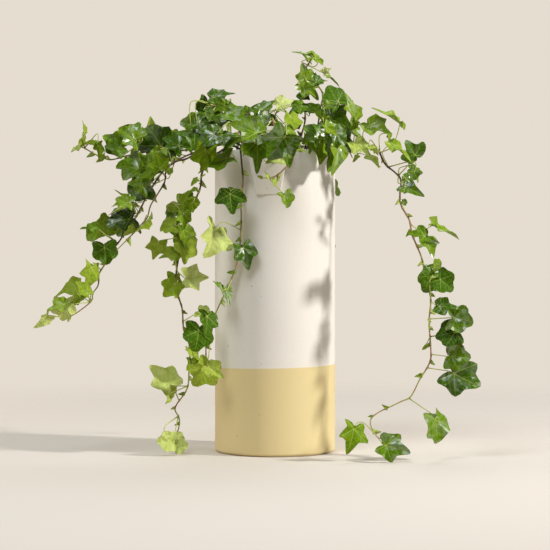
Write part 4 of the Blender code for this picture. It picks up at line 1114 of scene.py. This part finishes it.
def leafy_stem_tree():
    """A tree that bends a blade into place at every leaf point and thickens every stem and stalk."""
    tree, start, end = new_group("leafy_stem", "GeometryNodeTree", (
        ("Geometry", "NodeSocketGeometry", None),
        ("Blade Shapes", "NodeSocketCollection", None),
        ("Blade Thickness", "NodeSocketFloat", 0.5 * MM),
        ("Edge Wave", "NodeSocketFloat", 0.055),
        ("Broad Wave", "NodeSocketFloat", 0.09),
        ("Waves Round", "NodeSocketFloat", 7.0),
        ("Twist", "NodeSocketFloat", 0.8),
        ("Lean", "NodeSocketFloat", 0.2),
        ("Stem Sides", "NodeSocketInt", 8),
        ("Upper Side", "NodeSocketMaterial", None),
        ("Under Side", "NodeSocketMaterial", None),
        ("Bark", "NodeSocketMaterial", None),
    ), (("Geometry", "NodeSocketGeometry"),))
    values = start.outputs

    def given(name, kind="FLOAT"):
        return placed(tree, "GeometryNodeInputNamedAttribute", {"Name": name}, data_type=kind).outputs[0]

    def reached(place, way, distance):
        inputs = {0: given(way, "FLOAT_VECTOR"), 3: distance}
        step = placed(tree, "ShaderNodeVectorMath", inputs, operation="SCALE").outputs[0]
        return placed(tree, "ShaderNodeVectorMath", {0: place, 1: step}, operation="ADD").outputs[0]

    def drawn(factor):
        """A number of the leaf's own, from -0.5 to 0.5; the factor keeps each use of its seed apart."""
        share = reckoned(tree, "FRACT", times(tree, seed, factor))
        return reckoned(tree, "SUBTRACT", share, 0.5)

    parted = placed(tree, "GeometryNodeSeparateGeometry", {
        "Geometry": values["Geometry"], "Selection": given("is_leaf", "BOOLEAN")})
    shapes = placed(tree, "GeometryNodeCollectionInfo", {
        "Collection": values["Blade Shapes"], "Separate Children": True, "Reset Children": True})
    blades = placed(tree, "GeometryNodeInstanceOnPoints", {
        "Points": parted.outputs[0], "Instance": shapes.outputs[0], "Pick Instance": True,
        "Instance Index": given("cut", "INT")})
    flat = placed(tree, "GeometryNodeRealizeInstances", {0: blades.outputs[0]})
    x, y, _ = placed(tree, "ShaderNodeSeparateXYZ", {"Vector": given("leaf_place", "FLOAT_VECTOR")}).outputs
    seed = given("leaf_seed")
    length = given("leaf_length")
    x = reckoned(tree, "MULTIPLY_ADD", times(tree, y, y), times(tree, drawn(13.7), values["Lean"]), x)
    folded = times(tree, given("fold"), reckoned(tree, "ABSOLUTE", x))
    reach = reckoned(tree, "ADD", times(tree, x, x), times(tree, y, y))
    rise = reckoned(tree, "SUBTRACT", folded, times(tree, given("droop"), reach))
    rise = reckoned(tree, "ADD", rise, given("lift"))
    rise = reckoned(tree, "MULTIPLY_ADD", times(tree, x, y), times(tree, drawn(7.31), values["Twist"]), rise)
    for count, shift, steepness, height in ((values["Waves Round"], 40.0, 3.0, values["Edge Wave"]),
                                            (3.0, 71.0, 2.0, values["Broad Wave"])):
        phase = reckoned(tree, "MULTIPLY_ADD", reckoned(tree, "ARCTAN2", x, y), count,
                         times(tree, seed, shift))
        wave = times(tree, reckoned(tree, "SINE", phase),
                     reckoned(tree, "POWER", given("edge_share"), steepness))
        rise = reckoned(tree, "MULTIPLY_ADD", wave, height, rise)
    layer = times(tree, given("layer"), times(tree, values["Blade Thickness"], 0.5))
    place = reached(given("leaf_base", "FLOAT_VECTOR"), "leaf_side", times(tree, x, length))
    place = reached(place, "leaf_midrib", times(tree, y, length))
    place = reached(place, "leaf_normal", reckoned(tree, "MULTIPLY_ADD", rise, length, layer))
    bent = placed(tree, "GeometryNodeSetPosition", {"Geometry": flat.outputs[0], "Position": place})

    wires = placed(tree, "GeometryNodeMeshToCurve", {"Mesh": parted.outputs[1]})
    ring = placed(tree, "GeometryNodeCurvePrimitiveCircle", {
        "Resolution": values["Stem Sides"], "Radius": 1.0})
    tubes = placed(tree, "GeometryNodeCurveToMesh", {
        "Curve": wires.outputs[0], "Profile Curve": ring.outputs[0], "Scale": given("thickness"),
        "Fill Caps": True})
    tubes = placed(tree, "GeometryNodeSetShadeSmooth", {"Geometry": tubes.outputs[0]})
    whole = tree.nodes.new("GeometryNodeJoinGeometry")
    for part in (tubes, bent):
        tree.links.new(part.outputs[0], whole.inputs[0])
    dressed = placed(tree, "GeometryNodeRealizeInstances", {0: whole.outputs[0]})
    # Only a blade's places have a leaf length, and only those of its lower layer a negative layer
    on_blade = placed(tree, "FunctionNodeCompare", {0: length, 1: 1 * MM}, operation="GREATER_THAN")
    below = placed(tree, "FunctionNodeCompare", {0: given("layer"), 1: -0.1}, operation="LESS_THAN")
    for material, chosen in (("Bark", True), ("Upper Side", on_blade.outputs[0]),
                             ("Under Side", below.outputs[0])):
        dressed = placed(tree, "GeometryNodeSetMaterial", {
            "Geometry": dressed.outputs[0], "Selection": chosen, "Material": values[material]})
    tree.links.new(dressed.outputs[0], end.inputs[0])
    return tree


# How far into its blade a stalk reaches, in leaf lengths, and how finely it is drawn there and beyond
STALK_IN_BLADE = 0.06
HEART_STEPS = 2
STALK_STEPS = 5


def rounded_stalk(leaf, stem):
    """A smooth stalk from inside the blade's heart to the middle of its stem."""
    route = leaf.stalk_route()
    root = min(stem, key=lambda place: (place - leaf.root).length)
    middle = route[1] if len(route) == 3 else route[0].lerp(root, 0.5)
    ends = [leaf.base + leaf.midrib * STALK_IN_BLADE * leaf.length, route[0], middle, root]
    ends = [2 * ends[0] - ends[1], *ends, 2 * root - middle]
    places = []
    for k, corners in enumerate(zip(ends, ends[1:], ends[2:], ends[3:])):
        places.extend(curve(*corners, STALK_STEPS if k else HEART_STEPS))
    return [*places, root]


FINE_SPACING = 4 * MM
# Stems on the left stay woody for longer; the others turn green soon after the rim
LATE_GREEN = ("stem_left_long", "stem_left_thin", "stem_left_level", "stem_left_hanging")
LATE_RIPENING = 1.3
EARLY_RIPENING = 0.7
KNOT_SWELLING = 0.45
KNOT_LENGTH = 2.6 * MM
# A stalk's thickness at its blade, and what it gains where it grows from the stem, in shares of its radius
STALK_SLIMNESS = 0.85
STALK_SWELLING = 0.5
# The leaflets that sprout at the joints without a leaf
BUD_ROOM = 9 * MM
BUD_LENGTH = (4 * MM, 9 * MM)
BUD_STALK = 0.8 * MM
BUD_FOLD = 0.4
BUD_DROOP = 0.25
BUD_TONE = (0.35, 0.85)
# How far a leaflet leans along its stem and towards the viewer, for each share sideways
BUD_LEAN = 0.6
BUD_FORWARD = (-0.6, 0.9)
LOWEST_BUD = 15 * MM


def leaf_point(cut, base, midrib, normal, **facts):
    """A leaf as a row of its stem's skeleton."""
    return {"is_leaf": True, "cut": list(FINE_CUTS).index(cut), "leaf_base": base,
            "leaf_side": midrib.cross(normal), "leaf_midrib": midrib, "leaf_normal": normal, **facts}


def leaflets(name, leaves):
    """A small young leaf at each bare joint of a stem, as rows for its skeleton."""
    draws = random.Random(name + " leaflets")
    joints = stem_joints(name)
    rows = []
    for before, joint, after in zip(joints[1:], joints[2:], joints[3:]):
        length = draws.uniform(*BUD_LENGTH)
        way = draws.choice((-1, 1))
        forward = draws.uniform(*BUD_FORWARD)
        tone = draws.uniform(*BUD_TONE)
        seed = draws.random()
        if joint.z < LOWEST_BUD or any((joint - leaf.root).length < BUD_ROOM for leaf in leaves):
            continue
        along = (after - before).normalized()
        side = along.cross(FRONT).normalized() * way
        midrib = (along * BUD_LEAN + side + FRONT * forward).normalized()
        rows.append(leaf_point("bud", joint + midrib * BUD_STALK, midrib, midrib.cross(along).normalized(),
                               place=joint, leaf_length=length, fold=BUD_FOLD, droop=BUD_DROOP, tone=tone,
                               leaf_seed=seed))
    return rows


def stem_skeleton(name, leaves):
    """The stem and its stalks as lines and its leaves as points, each with what the tree needs to know."""
    stem = stem_joints(name, FINE_SPACING)
    buds = leaflets(name, leaves)
    knots = [min(stem, key=lambda place: (place - leaf.root).length) for leaf in leaves]
    knots += [bud["place"] for bud in buds]
    rows = []
    edges = []
    ripening = LATE_RIPENING if name in LATE_GREEN else EARLY_RIPENING
    for i, place in enumerate(stem):
        share = i / (len(stem) - 1)
        near = min((place - knot).length for knot in knots)
        swelling = 1 + KNOT_SWELLING * math.exp(-((near / KNOT_LENGTH) ** 2))
        radius = (ROOT_RADIUS + (TIP_RADIUS - ROOT_RADIUS) * share) * swelling
        rows.append({"place": place, "thickness": radius, "age": share**ripening, "is_stalk": 0.0})
        if i:
            edges.append((i - 1, i))
    for leaf in leaves:
        stalk = rounded_stalk(leaf, stem)
        for i, place in enumerate(stalk):
            share = i / (len(stalk) - 1)
            radius = STALK_RADIUS * (STALK_SLIMNESS + STALK_SWELLING * share**4)
            rows.append({"place": place, "thickness": radius, "age": leaf.tone,
                         "is_stalk": 1.0 - 0.5 * share**6})
            if i:
                edges.append((len(rows) - 2, len(rows) - 1))
    seeds = random.Random(name)
    for leaf in leaves:
        rows.append(leaf_point(leaf.cut, leaf.base, leaf.midrib, leaf.normal, place=leaf.base,
                               leaf_length=leaf.length, fold=leaf.fold, droop=leaf.droop, tone=leaf.tone,
                               leaf_seed=seeds.random()))
    rows += buds
    mesh = bpy.data.meshes.new(name)
    mesh.from_pydata([row["place"] for row in rows], edges, [])

    def record(title, kind, field, values):
        mesh.attributes.new(title, kind, "POINT").data.foreach_set(field, values)

    for title in ("thickness", "age", "is_stalk", "leaf_length", "fold", "droop", "tone", "leaf_seed"):
        record(title, "FLOAT", "value", [float(row.get(title, 0)) for row in rows])
    for title in ("leaf_base", "leaf_side", "leaf_midrib", "leaf_normal"):
        vectors = [row.get(title, (0, 0, 0)) for row in rows]
        record(title, "FLOAT_VECTOR", "vector", list(itertools.chain(*vectors)))
    record("is_leaf", "BOOLEAN", "value", [row.get("is_leaf", False) for row in rows])
    record("cut", "INT", "value", [row.get("cut", 0) for row in rows])
    skeleton = bpy.data.objects.new("ivy_" + name, mesh)
    bpy.context.scene.collection.objects.link(skeleton)
    return skeleton


LEAF_RELIEF = 0.9 * MM
BARK_RELIEF = 0.25 * MM


def leaf_pattern():
    """The look of a blade from its own attributes: colour by age, pale veins, and quilting between them."""
    group, start, end = new_group("leaf_pattern", "ShaderNodeTree", (
        ("Vein Width", "NodeSocketFloat", 0.026),
        ("Side Veins per Length", "NodeSocketFloat", 5.0),
        ("Vein Paleness", "NodeSocketFloat", 0.5),
    ), (("Color", "NodeSocketColor"), ("Relief", "NodeSocketFloat"), ("Wax", "NodeSocketFloat")))

    def given(name, output="Fac"):
        return placed(group, "ShaderNodeAttribute", attribute_name=name).outputs[output]

    seed, tone, apart, along = [given(name) for name in ("leaf_seed", "tone", "vein_distance", "vein_along")]
    shift = placed(group, "ShaderNodeCombineXYZ", {
        "X": times(group, seed, 31.0), "Y": times(group, seed, 17.0), "Z": times(group, seed, 7.0)})
    place = placed(group, "ShaderNodeVectorMath", {0: given("leaf_place", "Vector"), 1: shift.outputs[0]},
                   operation="ADD").outputs[0]
    # Main veins narrow outwards, side veins leave them like a herringbone, and a fine net lies between
    width = times(group, start.outputs["Vein Width"], reckoned(group, "SUBTRACT", 1.15, along))
    veins = ranged(group, reckoned(group, "DIVIDE", apart, width), 1.2, 0.35)
    herring = reckoned(group, "SUBTRACT", along, times(group, apart, 0.9))
    herring = reckoned(group, "MULTIPLY_ADD", herring, start.outputs["Side Veins per Length"],
                       times(group, noisy(group, place, 6.0), 0.5))
    zigzag = reckoned(group, "PINGPONG", herring, 0.5)
    net = placed(group, "ShaderNodeTexVoronoi", {"Vector": place, "Scale": 11.0}, feature="DISTANCE_TO_EDGE")
    for finer, strength in ((ranged(group, zigzag, 0.10, 0.02), 0.45),
                            (ranged(group, net.outputs["Distance"], 0.07, 0.0), 0.22)):
        veins = reckoned(group, "MAXIMUM", veins, times(group, finer, strength))

    mottle = reckoned(group, "SUBTRACT", noisy(group, place, 5.0, 4.0, 0.6), 0.5)
    ramp = placed(group, "ShaderNodeValToRGB", {0: reckoned(group, "ADD", tone, times(group, mottle, 0.4))})
    # From old, dark leaves to young, lime ones
    elements = ramp.color_ramp.elements
    stops = ((0.03, (0.010, 0.037, 0.0, 1)), (0.25, (0.063, 0.155, 0.0, 1)), (0.45, (0.175, 0.285, 0.002, 1)),
             (0.67, (0.335, 0.43, 0.045, 1)), (0.92, (0.62, 0.69, 0.25, 1)))
    while len(elements) < len(stops):
        elements.new(0.5)
    for stop, (position, color) in zip(elements, stops):
        stop.position = position
        stop.color = color
    blade = ramp.outputs[0]
    pale = blended(group, 0.5, blade, (0.46, 0.56, 0.12, 1))
    color = blended(group, times(group, veins, start.outputs["Vein Paleness"]), blade, pale)
    edge = ranged(group, given("edge_share"), 0.93, 1.0)
    scorched = times(group, edge, ranged(group, noisy(group, place, 2.3), 0.52, 0.66))
    color = blended(group, times(group, scorched, 0.75), color, (0.17, 0.08, 0.02, 1))
    quilting = times(group, ranged(group, apart, 0.0, 0.14), ranged(group, zigzag, 0.0, 0.5))
    swells = noisy(group, place, 3.2, 1.0)
    relief = reckoned(group, "ADD", times(group, quilting, 0.4), times(group, swells, 2.4))
    # Some old leaves shine more than others, and only where the blade swells
    polish = ranged(group, reckoned(group, "FRACT", times(group, seed, 53.1)), 0.12, 0.55)
    wax = times(group, times(group, polish, ranged(group, tone, 0.6, 0.3)), ranged(group, swells, 0.42, 0.58))
    fed(group, end, {"Color": color, "Relief": relief, "Wax": wax})
    return group


def leaf_material(name, pattern, vein_paleness, is_upper):
    """One side of a blade: veined, and waxy above where it is old, but paler and dull below."""
    made, tree, shader = new_material(name)
    look = used(tree, pattern, {"Vein Width": 0.026, "Side Veins per Length": 5.0,
                                "Vein Paleness": vein_paleness})
    if is_upper:
        fed(tree, shader, {"Base Color": look["Color"], "Coat Weight": look["Wax"], "Coat Roughness": 0.36,
                           "Coat IOR": 2.0})
    else:
        fed(tree, shader, {"Base Color": blended(tree, 0.35, look["Color"], (0.46, 0.56, 0.20, 1))})
    fed(tree, shader, {"Roughness": 0.5, "Specular IOR Level": 0.08,
                       "Normal": bumps(tree, look["Relief"], 0.8, LEAF_RELIEF)})
    return made


def bark_material():
    """Purple-brown wood that turns green towards the tip, and yellow-green stalks."""
    made, tree, shader = new_material("ivy_bark")
    place = placed(tree, "ShaderNodeTexCoord").outputs["Object"]
    age, is_stalk = [placed(tree, "ShaderNodeAttribute", attribute_name=name).outputs["Fac"]
                     for name in ("age", "is_stalk")]
    patches = noisy(tree, place, 38.0, 3.0, 0.6)
    wood = blended(tree, noisy(tree, place, 420.0, 3.0), (0.035, 0.018, 0.012, 1), (0.115, 0.060, 0.034, 1))
    greenness = reckoned(tree, "MULTIPLY_ADD", reckoned(tree, "SUBTRACT", patches, 0.5), 1.6, age)
    shoot = blended(tree, ranged(tree, patches, 0.4, 0.62), (0.32, 0.37, 0.055, 1), (0.36, 0.21, 0.10, 1))
    stem = blended(tree, ranged(tree, greenness, 0.38, 0.75), wood, shoot)
    stalk = blended(tree, ranged(tree, patches, 0.35, 0.7), (0.38, 0.45, 0.07, 1), (0.58, 0.61, 0.19, 1))
    fed(tree, shader, {
        "Base Color": blended(tree, ranged(tree, is_stalk, 0.45, 0.8), stem, stalk),
        "Roughness": ranged(tree, patches, 0.2, 0.8, 0.45, 0.7),
        "Normal": bumps(tree, noisy(tree, place, 700.0, 3.0), 0.5, BARK_RELIEF),
    })
    return made


blade_shapes = bpy.data.collections.new("blade_shapes")
for number, cut in enumerate(FINE_CUTS):
    blade = blade_shape(number, cut)
    bpy.context.scene.collection.objects.unlink(blade)
    blade_shapes.objects.link(blade)
pattern = leaf_pattern()
growth = leafy_stem_tree()
dressing = {
    "Blade Shapes": blade_shapes,
    "Upper Side": leaf_material("leaf_upper", pattern, 0.75, is_upper=True),
    "Under Side": leaf_material("leaf_under", pattern, 0.35, is_upper=False),
    "Bark": bark_material(),
}
for name, leaves in place_leaves(frame["nodes"]["pot"]).items():
    stem = grown(stem_skeleton(name, leaves), growth, dressing)
    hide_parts(name)
    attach(stem, "root")
for blade in list(blade_shapes.objects):
    bpy.data.objects.remove(blade, do_unlink=True)
bpy.data.collections.remove(blade_shapes)

# The studio: a pale matt floor that fades into a plain warm backdrop, a small bright key light from the
# right, soft lights in front overhead, behind and at the left, weak warm light from all round, and a long
# lens level with the pot's middle.
FLOOR_RADIUS = 1.3
FLOOR_SIDES = 96
FADE_START = 0.35
FADE_END = 1.2
CAMERA_PLACE = Vector((0, -2.032, 0.225))
CAMERA_PITCH = -0.56
LENS = 114.0
LIGHT_AIM = Vector((0, 0, 0.24))
# Each light's name, azimuth and elevation in degrees, distance and size in metres, power and colour
LIGHTS = (
    ("key_light", 70, 25, 2.2, 0.17, 48, (1.0, 0.975, 0.945)),
    ("overhead_light", -30, 50, 1.9, 0.7, 16, (0.88, 0.94, 1.0)),
    ("back_light", 165, 56, 2.0, 1.1, 12, (0.88, 0.94, 1.0)),
    ("side_light", -115, 15, 1.6, 0.9, 9, (1.0, 0.92, 0.80)),
)


def studio_floor():
    """A round sheet of matt paper that fades out towards its edge."""
    shape = bmesh.new()
    bmesh.ops.create_circle(shape, cap_ends=True, segments=FLOOR_SIDES, radius=FLOOR_RADIUS)
    floor = object_of(shape, "studio_floor")
    made, tree, shader = new_material("studio_paper")
    place = placed(tree, "ShaderNodeTexCoord").outputs["Object"]
    away = placed(tree, "ShaderNodeVectorMath", {0: place}, operation="LENGTH").outputs["Value"]
    fed(tree, shader, {"Base Color": (0.70, 0.65, 0.585, 1), "Roughness": 0.9,
                       "Alpha": ranged(tree, away, FADE_END, FADE_START)})
    floor.data.materials.append(made)
    return floor


def soft_light(name, azimuth, elevation, distance, size, power, color):
    """A square light turned to the plant. Azimuth is from the camera's side towards the right, in degrees."""
    light = bpy.data.lights.new(name, "AREA")
    light.size = size
    light.energy = power
    light.color = color
    lamp = bpy.data.objects.new(name, light)
    level = math.radians(elevation)
    way = math.radians(azimuth)
    out = Vector((math.sin(way) * math.cos(level), -math.cos(way) * math.cos(level), math.sin(level)))
    lamp.location = LIGHT_AIM + distance * out
    lamp.rotation_euler = (lamp.location - LIGHT_AIM).to_track_quat("Z", "Y").to_euler()
    lamp.visible_camera = False
    bpy.context.scene.collection.objects.link(lamp)


studio_floor()
for light_row in LIGHTS:
    soft_light(*light_row)
world = bpy.data.worlds.new("studio_air")
bpy.context.scene.world = world
world.use_nodes = True
air = world.node_tree
glow = fed(air, air.nodes["Background"], {"Color": (1.0, 0.90, 0.74, 1), "Strength": 0.2})
backdrop = placed(air, "ShaderNodeBackground", {"Color": (0.785, 0.72, 0.63, 1), "Strength": 1.0})
seen = placed(air, "ShaderNodeMixShader", {0: placed(air, "ShaderNodeLightPath").outputs["Is Camera Ray"],
                                           1: glow.outputs[0], 2: backdrop.outputs[0]})
fed(air, air.nodes["World Output"], {"Surface": seen.outputs[0]})

camera_data = bpy.data.cameras.new("camera")
camera_data.sensor_width = 36
camera_data.lens = LENS
camera = bpy.data.objects.new("camera", camera_data)
camera.location = CAMERA_PLACE
camera.rotation_euler = (math.radians(90 + CAMERA_PITCH), 0, 0)
bpy.context.scene.collection.objects.link(camera)
bpy.context.scene.camera = camera
bpy.context.scene.view_settings.view_transform = "Standard"
bpy.context.scene.view_settings.look = "None"
